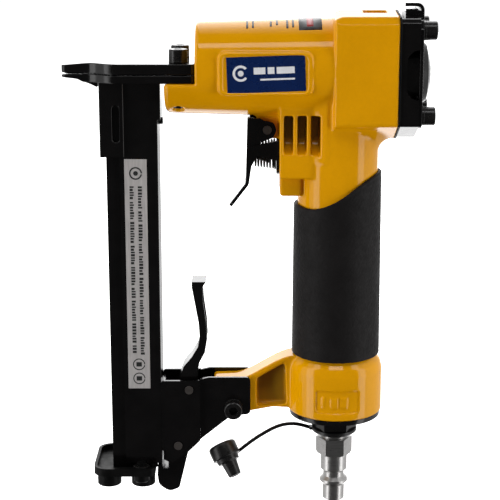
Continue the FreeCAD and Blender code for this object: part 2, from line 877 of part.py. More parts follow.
def build_magazine():
    depth = "channel_back_x - channel_x"
    skin = wide_box("channel_x", "channel_bottom_z", depth, "channel_half", "ledge_z - channel_bottom_z")
    seat = wide_box(
        "channel_back_x - 2",
        "seat_bottom_z",
        "seat_back_x - channel_back_x + 2",
        "channel_half",
        "ledge_z - seat_bottom_z",
    )
    tab = wide_box("channel_back_x - 0.5", "seat_bottom_z - 2.8", 2.6, 3.0, 3.2)
    hollow = wide_box(
        "channel_x - 1",
        "channel_bottom_z - 1",
        f"{depth} + 1 - channel_wall",
        "channel_half - channel_wall",
        "ledge_z - channel_bottom_z + 2",
    )
    node("magazine_channel", cut(fuse([skin, seat, tab]), [hollow], "Channel"))
    skin = wide_box(
        "front_x", "front_bottom_z", "front_back_x - front_x", "front_half", "ledge_z - front_bottom_z"
    )
    hollow = wide_box(
        "front_x + front_wall",
        "front_bottom_z - 1",
        30,
        "front_half - front_wall",
        "ledge_z - front_bottom_z + 2",
    )
    slot_low = cylinder(24.6, -20, -29.0, "Y", 1.6, 40)
    slot_high = cylinder(24.6, -20, -15.5, "Y", 1.6, 40)
    slot_mid = box(23.0, -20, -29.0, 3.2, 40, 13.5)
    slot = fuse([slot_low, slot_high, slot_mid], "Obround")
    node("magazine_front_sleeve", cut(skin, [hollow, slot], "FrontSleeve"))


def build_slide():
    height = "rail_top_z - rail_bottom_z"
    skin = wide_box("rail_x", "rail_bottom_z", "rail_depth", "rail_half_width", height)
    hollow = wide_box(
        "rail_x + rail_wall", "rail_bottom_z - 1", 40, "rail_half_width - rail_wall", f"{height} + 2"
    )
    node("slide_rail", cut(skin, [hollow], "Rail"))
    tray = plate(
        "tray",
        "XY_Plane",
        [
            ("tray_x", "-tray_half_width"),
            ("tray_x", "tray_half_width"),
            ("tray_end_x", "tray_half_width"),
            ("tray_end_x", "-tray_half_width"),
        ],
        "tray_thickness + tray_rim_z - tray_floor_z",
        "tray_floor_z - tray_thickness",
        rounds=[("tray_corner", (0, 1)), ("3", (2, 3))],
    )
    dish = plate(
        "dish",
        "XY_Plane",
        [
            ("tray_x + tray_rim", "-(tray_half_width - tray_rim)"),
            ("tray_x + tray_rim", "tray_half_width - tray_rim"),
            ("tray_end_x - tray_rim", "tray_half_width - tray_rim"),
            ("tray_end_x - tray_rim", "-(tray_half_width - tray_rim)"),
        ],
        "tray_rim_z - tray_floor_z + 1",
        "tray_floor_z",
        rounds=[("tray_corner - tray_rim", (0, 1)), ("1.6", (2, 3))],
    )
    doorway = wide_box("tray_end_x - tray_rim - 0.1", "tray_floor_z", 5, "channel_half + 0.6", 8)
    spots = [("end_screw_x", 0, "m6"), ("end_screw_back_x", 0, "m6"), ("end_nut_x", "end_nut_y", "m4")]
    holes = [cylinder(x, y, "tray_floor_z - 5", "Z", f"{size}_radius", 10) for x, y, size in spots]
    node("end_plate", cut(tray, [dish, doorway] + holes, "Tray"))
    under = "tray_floor_z - tray_thickness"
    reach = "tray_thickness + end_washer"
    node(
        "end_plate_washers",
        group(
            [
                washer("end_screw_x", 0, under, "-Z", 5.4, "m6_radius", "end_washer"),
                washer("end_screw_back_x", 0, under, "-Z", 5.9, "m6_radius", "end_washer"),
            ]
        ),
    )
    node(
        "end_plate_screws",
        group(
            [
                socket_screw("m6", "end_screw_x", 0, f"{under} - end_washer", "Z", reach),
                socket_screw("m6", "end_screw_back_x", 0, f"{under} - end_washer", "Z", reach),
                socket_screw("m4", "end_nut_x", "end_nut_y", under, "Z", 5.5),
            ]
        ),
    )
    nut = cut(
        hexagon("end_nut_x", "end_nut_y", "tray_floor_z", "Z", 4.04, 2.5),
        [cylinder("end_nut_x", "end_nut_y", -200, "Z", "m4_radius", 40)],
    )
    node("end_plate_nut", nut)
    rod_steps = [
        ("rod_radius - 0.4", "rod_radius", "0.6"),
        ("rod_radius", "rod_radius", "rod_top_z - 0.6 - tray_floor_z"),
    ]
    node("pusher_rod", stack("rod_x", 0, "rod_top_z", "-Z", rod_steps))
    spring_top = "rail_top_z - 0.6 - pusher_length - 0.3"
    spring_length = f"{spring_top} - tray_floor_z - 0.2"
    node(
        "pusher_spring",
        tube(
            "rod_x", 0, spring_top, "-Z", "pusher_spring_radius", "pusher_spring_radius - 0.8", spring_length
        ),
    )
    pusher = wide_box(
        "pusher_x",
        "rail_top_z - 0.6 - pusher_length",
        "pusher_end_x - pusher_x",
        "pusher_half_width",
        "pusher_length",
    )
    relief = wide_box("pusher_x - 1", "rail_top_z - 0.6 - pusher_length - 1", 5.6, 20, "pusher_length - 4")
    bore = cylinder("rod_x", 0, -60, "Z", "pusher_bore", 70)
    node("pusher", cut(pusher, [bore, relief], "Pusher"))


def build_bracket():
    outline = [
        (43.5, "web_top_z + 2.2"),
        (60.5, "web_top_z + 2.2"),
        (66.0, -144.0),
        (85.9, -144.0),
        (85.9, -162.4),
        (78.5, -163.2),
        (75.8, -164.0),
        (62.2, -175.0),
        (56.0, -181.2),
        (48.2, -186.8),
        (43.5, -184.6),
    ]
    rounds = [("1.2", (0,)), ("2.0", (3, 4))]
    solid = plate("bracket", "XZ_Plane", outline, "2 * plate_outer", midplane=True, rounds=rounds)
    step = "plate_outer - plate_clamp + 1"
    shave = [
        box("joggle_x", "-plate_outer - 1", -200, 40, step, 80),
        box("joggle_x", "plate_clamp", -200, 40, step, 80),
    ]
    inner_wide = wide_box(45.0, -200, "joggle_x - 45", "plate_outer - plate_wall", 80)
    inner_narrow = wide_box("joggle_x - 1", -200, 40, "plate_clamp - plate_wall", 80)
    top_gap = wide_box(40, "web_top_z", 5.1, "plate_outer - plate_wall", 8)
    low_gap = wide_box(40, "web_bottom_z - 20", 5.1, "plate_outer - plate_wall", 20)
    heel = wide_box(40, -200, 5.2, 20, "web_bottom_z + 200")
    pins = [
        cylinder(x, -20, z, "Y", "pin_radius", 40)
        for x, z in (("stop_pin_x", "stop_pin_z"), ("latch_pin_x", "latch_pin_z"))
    ]
    bolt = cylinder("bracket_bolt_x", -20, "bracket_bolt_z", "Y", "m5_clearance", 40)
    node(
        "magazine_bracket",
        cut(solid, shave + [inner_wide, inner_narrow, top_gap, low_gap, heel, bolt] + pins, "Bracket"),
    )
    pin_length = "2 * (plate_outer + pin_stand_out)"
    pin_start = "-plate_outer - pin_stand_out"
    for label, short in (("latch_stop_pin", "stop_pin"), ("latch_pivot_pin", "latch_pin")):
        node(label, cylinder(f"{short}_x", pin_start, f"{short}_z", "Y", "pin_radius", pin_length))
    near = "-plate_clamp"
    spot = ("bracket_bolt_x", "bracket_bolt_z")
    node(
        "bracket_washers",
        group(
            [
                washer(spot[0], near, spot[1], "-Y", "m5_washer_radius", "m5_clearance", 1),
                washer(spot[0], "plate_clamp", spot[1], "Y", "m5_washer_radius", "m5_clearance", 1),
            ]
        ),
    )
    bolt_length = "2 * plate_clamp + 8"
    node("bracket_bolt", socket_screw("m5", spot[0], f"{near} - 1", spot[1], "Y", bolt_length))
    nut = cut(
        hexagon("bracket_bolt_x", "plate_clamp + 1", "bracket_bolt_z", "Y", 4.6, 4.5),
        [cylinder("bracket_bolt_x", 0, "bracket_bolt_z", "Y", "m5_radius", 40)],
    )
    node("bracket_nut", nut)


def build_latch():
    outline = [
        (58.2, -97.6),
        (58.3, -100.5),
        (59.5, -107.1),
        (61.4, -118.0),
        (61.8, -124.5),
        (61.0, -129.5),
        (58.0, -134.5),
        (54.0, -139.4),
        (52.2, -144.5),
        (49.6, -152.0),
        (46.4, -172.0),
        (46.4, -180.4),
        (43.9, -181.9),
        (43.9, -186.4),
        (46.2, -187.6),
        (46.2, -190.9),
        (43.7, -191.0),
        (43.2, -188.6),
        (41.1, -189.6),
        (40.8, -194.0),
        (41.4, -199.4),
        (46.6, -203.0),
        (51.4, -201.0),
        (53.6, -192.0),
        (56.4, -180.0),
        (59.0, -160.0),
        (59.4, -153.6),
        (54.4, -152.8),
        (54.4, -147.1),
        (60.6, -146.4),
        (60.9, -142.0),
        (61.6, -137.3),
        (64.3, -132.2),
        (65.4, -125.5),
        (65.0, -118.0),
        (63.6, -107.5),
        (63.3, -100.0),
        (65.0, -97.6),
    ]
    solid = plate(
        "lever",
        "XZ_Plane",
        outline,
        "2 * lever_half_width",
        midplane=True,
        rounds=[("3", (3, 4, 5, 32, 33)), ("4.2", (20, 21)), ("1.4", (19, 22))],
    )
    inner_outline = [
        ("lever_u1_at + 1.6", "lever_v1_at - 1"),
        ("lever_u2_at + 1.4", "lever_v2_at"),
        ("lever_u3_at + 1.4", "lever_v3_at"),
        ("lever_u4_at + 1.4", "lever_v4_at"),
        ("lever_u5_at + 1.4", "lever_v5_at"),
        ("lever_u6_at + 1.3", "lever_v6_at - 1"),
        ("lever_u7_at + 1.4", "lever_v7_at - 0.6"),
        ("lever_u8_at + 1.4", "lever_v8_at"),
        ("lever_u9_at + 1.4", "lever_v9_at"),
        ("lever_u10_at + 1.4", "lever_v10_at"),
        ("lever_u10_at + 1.2", -186.0),
        (72.0, -186.0),
        (72.0, "lever_v1_at - 1"),
    ]
    hollow = plate(
        "lever_hollow", "XZ_Plane", inner_outline, "2 * (lever_half_width - lever_wall)", midplane=True
    )
    bore = cylinder("latch_pin_x", -20, "latch_pin_z", "Y", "latch_bore", 40)
    node("latch_lever", cut(solid, [hollow, bore], "Lever"))
    node("latch_spring", tube("latch_pin_x", -4.4, "latch_pin_z", "Y", 3.4, 2.5, 8.8))


def build_trigger():
    flange = [
        (84.5, -19.8),
        (83.7, -50.0),
        (76.0, -60.2),
        (77.2, -61.2),
        (85.2, -50.8),
        (86.4, -42.2),
        (89.6, -36.6),
        (90.9, -31.0),
        (96.4, -28.9),
        (97.9, -25.4),
        (96.6, -22.0),
        (92.0, -21.0),
        (90.2, -20.0),
    ]
    solid = plate(
        "trigger",
        "XZ_Plane",
        flange,
        "2 * trigger_half_width",
        midplane=True,
        rounds=[("3.0", (1,)), ("4.0", (4,)), ("2.4", (8, 9, 10))],
    )
    hollow = plate(
        "trigger_hollow",
        "XZ_Plane",
        [
            ("trigger_u0_at + trigger_wall", -10.0),
            ("trigger_u1_at + trigger_wall + 0.1", "trigger_v1_at - 0.8"),
            ("trigger_u1_at + 20", "trigger_v1_at - 0.8"),
            ("trigger_u1_at + 20", -10.0),
        ],
        "2 * (trigger_half_width - trigger_wall)",
        midplane=True,
    )
    bore = cylinder("trigger_pin_x", -20, "trigger_pin_z", "Y", "trigger_bore", 40)
    node("trigger", cut(solid, [hollow, bore], "Trigger"))
    pin_length = "2 * trigger_half_width + 1"
    pin_start = "-trigger_half_width - 0.5"
    node("trigger_pin", cylinder("trigger_pin_x", pin_start, "trigger_pin_z", "Y", "pin_radius", pin_length))
    flange_disc = cylinder("valve_face_x", 0, "valve_z - 1.1", "X", "valve_flange_radius", "valve_flange")
    barrel = cylinder("valve_face_x", 0, "valve_z", "X", "valve_radius", "valve_depth")
    bore = cylinder("valve_face_x - 1", 0, "valve_z", "X", "valve_bore", 40)
    grooves = [
        tube(f"valve_face_x + {gap}", 0, "valve_z", "X", "valve_radius + 1", "valve_radius - 0.9", 1.8)
        for gap in (4, 12)
    ]
    guard = plate(
        "guard",
        "XZ_Plane",
        [
            (86.6, -32.7),
            (86.6, -36.9),
            ("valve_face_x", -39.4),
            ("valve_face_x + valve_flange", -39.4),
            ("valve_face_x + valve_flange", -30.2),
            ("valve_face_x", -30.2),
        ],
        "guard_thickness",
        rounds=[("1.9", (0, 1))],
    )
    guard.setExpression("Placement.Base.y", linked("-guard_gap"))
    node("valve_body", cut(fuse([flange_disc, barrel, guard]), [bore] + grooves, "ValveBody"))
    seals = [
        ring(f"valve_face_x + {gap + 0.9}", 0, "valve_z", "X", "valve_radius - 0.4", 0.44) for gap in (4, 12)
    ]
    node("valve_o_rings", group(seals))
    steps = [
        ("1.0", "1.9", "0.8"),
        ("1.9", "4.6", "8.2"),
        ("4.6", "4.6", "0.4"),
        ("stem_radius", "stem_radius", "valve_depth"),
    ]
    node("valve_stem", stack("stem_tip_x", 0, "valve_z", "X", steps, "Stem"))
    spring_length = "valve_face_x - 0.1 - spring_start_x"
    outer = cone(
        "spring_start_x", 0, "valve_z - 0.2", "X", "spring_small_radius", "spring_large_radius", spring_length
    )
    inner = cone(
        "spring_start_x",
        0,
        "valve_z - 0.2",
        "X",
        "spring_small_radius - spring_wire",
        "spring_large_radius - spring_wire",
        spring_length,
    )
    node("valve_spring", cut(outer, [inner], "ValveSpring"))


def build_grip():
    tapered = cone(
        "grip_x", 0, "grip_bottom_z", "Z", "grip_bottom_radius", "grip_top_radius", "-40 - grip_bottom_z"
    )
    bore = cylinder("grip_x", 0, "grip_bottom_z - 1", "Z", "handle_radius", 120)
    top = plate(
        "grip_top",
        "XZ_Plane",
        [
            (100.0, -60.4),
            (106.6, -60.4),
            (111.4, -61.0),
            (116.0, -60.4),
            (120.0, -59.0),
            (124.0, -57.1),
            (128.4, -54.6),
            (132.4, -51.9),
            (136.4, -49.3),
            (140.6, -47.0),
            (145.0, -45.2),
            (152.0, -44.0),
            (152.0, -30.0),
            (100.0, -30.0),
        ],
        60,
        midplane=True,
    )
    node("grip_sleeve", cut(tapered, [bore, top], "Grip"))


def build_end_cap():
    disc_z = "foot_bottom_z"
    plug = cylinder("grip_x", 0, disc_z, "Z", "end_plug_radius", "end_plug")
    disc = cylinder("grip_x", 0, disc_z, "-Z", "end_disc_radius", "end_disc")
    hexed = hexagon("grip_x", 0, f"{disc_z} - end_disc", "-Z", "end_hex_radius", "end_hex")
    neck_z = f"{disc_z} - end_disc - end_hex"
    neck = cylinder("grip_x", 0, neck_z, "-Z", "ring_radius - 2.6", "ring_height + 0.6")
    bore = cylinder("grip_x", 0, -200, "Z", 5.0, 80)
    groove = tube("grip_x", 0, f"{disc_z} + 4", "Z", "end_plug_radius + 1", "end_plug_radius - 1.1", 2.2)
    node("end_cap", cut(fuse([plug, disc, hexed, neck]), [bore, groove], "EndCap"))
    node("end_cap_seal", ring("grip_x", 0, f"{disc_z} + 5.1", "Z", "end_plug_radius - 0.55", 0.54))
    ring_z = f"{disc_z} - end_disc - end_hex"
    ring_steps = [
        ("ring_radius", "ring_radius", "1.4"),
        ("ring_radius", "ring_radius - 1.4", "ring_height - 1.4"),
    ]
    outer = stack("grip_x", 0, ring_z, "-Z", ring_steps)
    hole = cylinder("grip_x", 0, f"{ring_z} + 1", "-Z", "ring_radius - 2.6", 10)
    ear = box("grip_x - ring_radius - 1.2", -2.0, f"{ring_z} - 1.4", 3, 4.0, 1.4)
    node("dust_cap_ring", cut(fuse([outer, ear]), [hole], "DustRing"))


def build_air_plug():
    top = "foot_bottom_z - end_disc - end_hex - ring_height - 0.6"
    thread = cylinder("grip_x", 0, top, "Z", 4.9, 9)
    steps = [
        ("6.3", "6.3", "1.6"),
        ("8.2", "8.8", "0.5"),
        ("8.8", "8.8", "7.2"),
        ("8.8", "8.0", "0.8"),
        ("6.45", "6.45", "8.0"),
        ("6.45", "5.1", "1.2"),
        ("5.1", "5.1", "2.4"),
        ("5.1", "6.8", "1.5"),
        ("6.8", "6.8", "1.3"),
        ("6.8", "5.3", "1.6"),
        ("5.3", "5.3", "7.2"),
        ("5.3", "4.8", "0.6"),
    ]
    turned = stack("grip_x", 0, top, "-Z", steps)
    flats = hexagon("grip_x", 0, f"{top} + 12", "-Z", "plug_hex_radius", 60)
    bore = cylinder("grip_x", 0, -240, "Z", 2.6, 80)
    node("air_plug", cut(common(fuse([turned, thread]), flats), [bore], "AirPlug"))


STRAP_ROUTE = [
    Vector(114.8, 0, -172.2),
    Vector(111.2, 0, -171.0),
    Vector(107.2, 0, -170.3),
    Vector(103.0, 0, -170.5),
    Vector(98.8, 0, -171.7),
    Vector(94.4, 0, -174.0),
    Vector(88.6, 0, -177.7),
    Vector(83.2, 0, -181.9),
    Vector(79.6, 0, -185.0),
]


def rounded_path(points):
    """Straight runs joined by tangent arcs, each as large as its two runs allow."""
    edges = []
    radii = []
    start = points[0]
    length = 0
    for before, corner, after in zip(points, points[1:], points[2:]):
        incoming = (corner - before).normalize()
        outgoing = (after - corner).normalize()
        turn = incoming.getAngle(outgoing)
        reach = 0.45 * min((corner - before).Length, (after - corner).Length)
        radius = reach / math.tan(turn / 2)
        first = corner - incoming * reach
        last = corner + outgoing * reach
        inward = (outgoing - incoming).normalize()
        middle = corner + inward * (radius / math.cos(turn / 2) - radius)
        edges.append(Part.LineSegment(start, first).toShape())
        edges.append(Part.Arc(first, middle, last).toShape())
        length += (first - start).Length + radius * turn
        radii.append(radius)
        start = last
    edges.append(Part.LineSegment(start, points[-1]).toShape())
    length += (points[-1] - start).Length
    return Part.Wire(edges), length, radii


def build_dust_cap():
    wire, length, radii = rounded_path(STRAP_ROUTE)
    radius = cell("strap_radius")
    first = (STRAP_ROUTE[1] - STRAP_ROUTE[0]).normalize()
    profile = Part.Wire([Part.Circle(STRAP_ROUTE[0], first, radius).toShape()])
    solid = wire.makePipeShell([profile], True, False, 2)
    strap = doc.addObject("Part::Feature", "DustStrap")
    strap.Shape = solid
    node("dust_cap_strap", strap)
    expected = math.pi * radius**2 * length
    print("strap length %.1f mm, volume %.1f of %.1f mm3" % (length, solid.Volume, expected))
    print("strap radii", " ".join("%.0f" % r for r in radii))
    tilt = math.radians(cell("dust_tilt"))
    lean = math.radians(cell("dust_lean"))
    pointing = Vector(math.sin(tilt) * math.cos(lean), -math.sin(lean), -math.cos(tilt) * math.cos(lean))
    head = stack(
        0,
        0,
        0,
        "-Z",
        [
            ("dust_cap_radius - 1.6", "dust_cap_radius", "1.6"),
            ("dust_cap_radius", "dust_cap_radius", "dust_cap_height - 2.2"),
            ("dust_cap_radius", "dust_cap_radius - 0.6", "0.6"),
            ("dust_collar_radius", "dust_collar_radius - 0.3", "dust_collar"),
            ("dust_stem_radius + 0.3", "dust_stem_tip_radius", "dust_stem"),
        ],
    )
    depth = "dust_cap_height + dust_collar + dust_stem"
    hollow = cylinder(0, 0, f"-({depth})", "Z", "dust_stem_tip_radius - 1.3", 5)
    cap = cut(head, [hollow], "DustCap")
    cap.Placement = Placement(
        Vector(cell("dust_top_x"), 0, cell("dust_top_z")), Rotation(Vector(0, 0, -1), pointing)
    )
    node("dust_cap", cap)


build_housing()
build_cylinder_parts()
build_head_valve()
build_cap_stack()
build_nose()
build_magazine()
build_slide()
build_bracket()
build_latch()
build_trigger()
build_grip()
build_end_cap()
build_air_plug()
build_dust_cap()
doc.recompute()

for thing in doc.Objects:
    if "Invalid" in thing.State or "Error" in thing.State:
        raise RuntimeError(f"{thing.Label} failed: {thing.State}")

os.makedirs("parts", exist_ok=True)
for thing in NODES:
    shape = thing.Shape
    if shape.isNull() or not shape.isValid():
        raise RuntimeError(f"{thing.Label} has no valid shape")
    if not shape.Solids:
        raise RuntimeError(f"{thing.Label} has no solid")
    shape.exportStep(os.path.join("parts", thing.Label + ".step"))
    print(f"{thing.Label}: {len(shape.Solids)} solid(s), {shape.Volume / 1000:.2f} cm3")
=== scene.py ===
"""Looks of the pneumatic fine-crown tacker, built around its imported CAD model."""

import json
import math
import random

import bmesh
import bpy
import numpy as np
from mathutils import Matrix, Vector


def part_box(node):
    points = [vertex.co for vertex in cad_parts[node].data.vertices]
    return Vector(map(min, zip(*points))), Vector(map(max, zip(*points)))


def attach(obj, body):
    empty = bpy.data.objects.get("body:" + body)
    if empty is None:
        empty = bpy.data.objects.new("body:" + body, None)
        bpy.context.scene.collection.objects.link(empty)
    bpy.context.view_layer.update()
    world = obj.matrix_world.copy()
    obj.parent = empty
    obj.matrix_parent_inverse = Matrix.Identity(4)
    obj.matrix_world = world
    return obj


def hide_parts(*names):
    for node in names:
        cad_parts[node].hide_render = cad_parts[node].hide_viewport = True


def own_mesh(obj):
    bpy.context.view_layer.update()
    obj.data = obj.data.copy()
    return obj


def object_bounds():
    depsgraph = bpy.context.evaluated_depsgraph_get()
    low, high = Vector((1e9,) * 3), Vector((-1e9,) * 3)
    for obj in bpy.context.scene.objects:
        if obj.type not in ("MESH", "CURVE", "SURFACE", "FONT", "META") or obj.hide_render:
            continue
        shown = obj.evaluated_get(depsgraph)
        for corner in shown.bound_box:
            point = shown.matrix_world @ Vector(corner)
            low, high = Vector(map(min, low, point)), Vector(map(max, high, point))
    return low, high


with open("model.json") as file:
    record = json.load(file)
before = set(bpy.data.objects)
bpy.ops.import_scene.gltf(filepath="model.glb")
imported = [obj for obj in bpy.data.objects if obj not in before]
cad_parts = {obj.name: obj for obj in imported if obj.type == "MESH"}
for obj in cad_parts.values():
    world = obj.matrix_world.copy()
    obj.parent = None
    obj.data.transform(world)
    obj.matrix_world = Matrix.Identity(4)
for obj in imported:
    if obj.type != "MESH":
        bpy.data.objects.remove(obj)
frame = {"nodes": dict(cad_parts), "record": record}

import openvdb
from mathutils import Vector

MM = 0.001
cad_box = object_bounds()
scene = bpy.context.scene
random.seed(7)

# ---------------------------------------------------------------- camera

CENTRE = (cad_box[0] + cad_box[1]) / 2
AIM = Vector((0.085718, 0.0, -0.083581))
PITCH = math.radians(13.5)
DISTANCE = 0.675

camera_data = bpy.data.cameras.new("camera")
camera_data.sensor_width = 36.0
camera_data.lens = 102.96
camera = bpy.data.objects.new("camera", camera_data)
camera.location = AIM + DISTANCE * Vector((0, -math.cos(PITCH), math.sin(PITCH)))
camera.rotation_euler = (math.pi / 2 - PITCH, 0, 0)
scene.collection.objects.link(camera)
scene.camera = camera

# ---------------------------------------------------------------- dust cap strap, drawn as a cord

STRAP_ROUTE = [
    (114.8, 0, -172.2),
    (111.2, 0, -171.0),
    (107.2, 0, -170.3),
    (103.0, 0, -170.5),
    (98.8, 0, -171.7),
    (94.4, 0, -174.0),
    (88.6, 0, -177.7),
    (83.2, 0, -181.9),
    (79.6, 0, -185.0),
]
STRAP_RADIUS = 0.9
strap_curve = bpy.data.curves.new("dust_strap", "CURVE")
strap_curve.dimensions = "3D"
strap_curve.bevel_depth = 1.0
strap_curve.bevel_resolution = 6
strap_curve.resolution_u = 24
strap_curve.use_fill_caps = True
spline = strap_curve.splines.new("NURBS")
spline.points.add(len(STRAP_ROUTE) - 1)
for point, spot in zip(spline.points, STRAP_ROUTE):
    point.co = (*(Vector(spot) * MM), 1.0)
    point.radius = STRAP_RADIUS * MM
spline.order_u = 3
spline.use_endpoint_u = True
strap = bpy.data.objects.new("dust_strap", strap_curve)
scene.collection.objects.link(strap)

# ---------------------------------------------------------------- node materials

WINDOW_SLOPE = 0.55


class Surface:
    """A procedural material under construction."""

    def __init__(self, name, **sockets):
        self.material = bpy.data.materials.new(name)
        self.material.use_nodes = True
        self.tree = self.material.node_tree
        self.tree.nodes.clear()
        self.shader = self.tree.nodes.new("ShaderNodeBsdfPrincipled")
        output = self.tree.nodes.new("ShaderNodeOutputMaterial")
        self.tree.links.new(self.shader.outputs[0], output.inputs[0])
        self.place = self.tree.nodes.new("ShaderNodeTexCoord").outputs["Object"]
        self.normal = None
        for key, value in sockets.items():
            self.shader.inputs[key.replace("_", " ")].default_value = value

    def node(self, kind, inputs=None, **props):
        made = self.tree.nodes.new(kind)
        for key, value in props.items():
            setattr(made, key, value)
        for key, value in (inputs or {}).items():
            if isinstance(value, bpy.types.NodeSocket):
                self.tree.links.new(value, made.inputs[key])
            else:
                made.inputs[key].default_value = value
        return made

    def stretched(self, x, y, z):
        return self.node("ShaderNodeMapping", {"Vector": self.place, "Scale": (x, y, z)}).outputs[0]

    def noise(self, scale, detail=3.0, rough=0.5, place=None):
        inputs = {"Vector": place or self.place, "Scale": scale, "Detail": detail, "Roughness": rough}
        return self.node("ShaderNodeTexNoise", inputs).outputs[0]

    def cells(self, scale):
        """Distance to the nearest of a scatter of points."""
        return self.node("ShaderNodeTexVoronoi", {"Vector": self.place, "Scale": scale}).outputs["Distance"]

    def calc(self, operation, *values):
        return self.node("ShaderNodeMath", dict(enumerate(values)), operation=operation).outputs[0]

    def ramp(self, factor, *stops):
        made = self.node("ShaderNodeValToRGB", {"Fac": factor})
        ramp = made.color_ramp
        while len(ramp.elements) < len(stops):
            ramp.elements.new(1.0)
        for element, (position, colour) in zip(ramp.elements, stops):
            element.position = position
            element.color = (*colour, 1.0) if isinstance(colour, tuple) else (colour, colour, colour, 1.0)
        return made.outputs[0]

    def blend(self, factor, first, second, kind="MIX"):
        made = self.node("ShaderNodeMix", data_type="RGBA", blend_type=kind)
        for index, value in ((0, factor), (6, first), (7, second)):
            if isinstance(value, bpy.types.NodeSocket):
                self.tree.links.new(value, made.inputs[index])
            elif index:
                made.inputs[index].default_value = (*value, 1.0)
            else:
                made.inputs[index].default_value = value
        return made.outputs[2]

    def edges(self, low, high):
        """1 on worn convex edges, 0 elsewhere."""
        shape = self.tree.nodes.new("ShaderNodeNewGeometry").outputs["Pointiness"]
        return self.ramp(shape, (low, 0.0), (high, 1.0))

    def step(self, value, start, stop):
        """Over a length in millimetres, 0 before start and 1 past stop; stop may be the smaller."""
        ends = (0.0, 1.0) if stop > start else (1.0, 0.0)
        inputs = {
            "Value": value,
            "From Min": min(start, stop) * MM,
            "From Max": max(start, stop) * MM,
            "To Min": ends[0],
            "To Max": ends[1],
        }
        return self.node("ShaderNodeMapRange", inputs).outputs[0]

    def recess_shade(self):
        """1 on the walls inside the handle's side pockets and the foot arm's windows, where painted shade
        darkens the paint.
        """
        x, y, z = self.node("ShaderNodeSeparateXYZ", {"Vector": self.place}).outputs
        side = self.calc("ABSOLUTE", y)
        down = self.calc("MULTIPLY", z, -1.0)
        slant = self.calc("MULTIPLY_ADD", x, WINDOW_SLOPE, down)
        pockets = [(side, 14.6, 13.4), (x, 99.8, 100.3), (x, 118.2, 117.6)]
        pockets += [(down, 17.2, 18.0), (down, 35.0, 28.0)]
        windows = [(side, 6.7, 6.1), (x, 88.6, 90.4), (x, 103.8, 101.0)]
        windows += [(slant, 192.4, 194.2), (down, 159.2, 157.0)]
        masks = []
        for limits in (pockets, windows):
            mask = self.step(*limits[0])
            for limit in limits[1:]:
                mask = self.calc("MULTIPLY", mask, self.step(*limit))
            masks.append(mask)
        return self.calc("MAXIMUM", *masks)

    def bump(self, height, strength, distance):
        inputs = {"Height": height, "Strength": strength, "Distance": distance}
        if self.normal:
            inputs["Normal"] = self.normal
        self.normal = self.node("ShaderNodeBump", inputs).outputs[0]

    def finish(self, colour, rough):
        for key, value in {"Base Color": colour, "Roughness": rough, "Normal": self.normal}.items():
            if value is not None:
                self.tree.links.new(value, self.shader.inputs[key])
        return self.material


def yellow_paint():
    s = Surface("yellow_paint", Specular_IOR_Level=0.0, Coat_Weight=0.75, Coat_Roughness=0.05)
    tone = s.ramp(s.noise(60, 3), (0.35, (0.71, 0.313, 0.0006)), (0.65, (0.75, 0.333, 0.0008)))
    fine = s.ramp(s.noise(900, 2), (0.3, 0.965), (0.7, 1.0))
    colour = s.blend(1.0, tone, fine, "MULTIPLY")
    specks = s.ramp(s.cells(210), (0.028, 1.0), (0.045, 0.0))
    rare = s.ramp(s.noise(45, 1), (0.66, 0.0), (0.69, 1.0))
    speck = s.blend(1.0, specks, rare, "MULTIPLY")
    colour = s.blend(speck, colour, (0.09, 0.045, 0.01))
    # Painted shade: a darker olive brown laid over the paint inside the side pockets and the arm's windows.
    colour = s.blend(s.recess_shade(), colour, (0.38, 0.225, 0.012))
    worn = s.blend(1.0, s.edges(0.56, 0.62), s.ramp(s.noise(260, 4), (0.58, 0.0), (0.72, 1.0)), "MULTIPLY")
    colour = s.blend(worn, colour, (0.66, 0.36, 0.06))
    s.bump(s.noise(420, 2), 0.05, 0.0003)
    s.bump(s.noise(1900, 2), 0.035, 0.0001)
    return s.finish(colour, s.ramp(s.noise(140, 3), (0.3, 0.3), (0.7, 0.42)))


def black_lacquer():
    s = Surface("black_lacquer", Specular_IOR_Level=0.45)
    tone = s.ramp(s.noise(120, 4), (0.3, (0.0022, 0.0020, 0.0021)), (0.7, (0.0042, 0.0038, 0.0039)))
    scuffs = s.ramp(s.noise(500, 6, 0.65, s.stretched(1, 1, 6)), (0.66, 0.0), (0.8, 1.0))
    colour = s.blend(scuffs, tone, (0.009, 0.0085, 0.0085))
    s.bump(s.noise(1500, 3), 0.06, 0.0001)
    return s.finish(colour, s.ramp(s.noise(260, 4), (0.3, 0.11), (0.7, 0.2)))


def black_oxide():
    s = Surface("black_oxide")
    tone = s.ramp(s.noise(700, 4), (0.3, (0.0035, 0.0033, 0.0033)), (0.7, (0.008, 0.0075, 0.0073)))
    colour = s.blend(s.edges(0.52, 0.6), tone, (0.02, 0.019, 0.018))
    s.bump(s.noise(2600, 3), 0.08, 0.0001)
    return s.finish(colour, s.ramp(s.noise(900, 4), (0.3, 0.18), (0.7, 0.3)))


def steel(name, colour_low, colour_high, rough_low, rough_high, stretch=(1, 1, 30), scale=260.0):
    """Metal with fine turning or grinding lines across the stretched direction."""
    s = Surface(name, Metallic=1.0)
    grain = s.noise(scale, 4, 0.6, s.stretched(*stretch))
    stains = s.noise(240, 3)
    tone = s.ramp(grain, (0.3, colour_low), (0.7, colour_high))
    tone = s.blend(1.0, tone, s.ramp(stains, (0.3, 0.88), (0.7, 1.0)), "MULTIPLY")
    s.bump(grain, 0.05, 0.0001)
    return s.finish(tone, s.ramp(grain, (0.3, rough_low), (0.7, rough_high)))


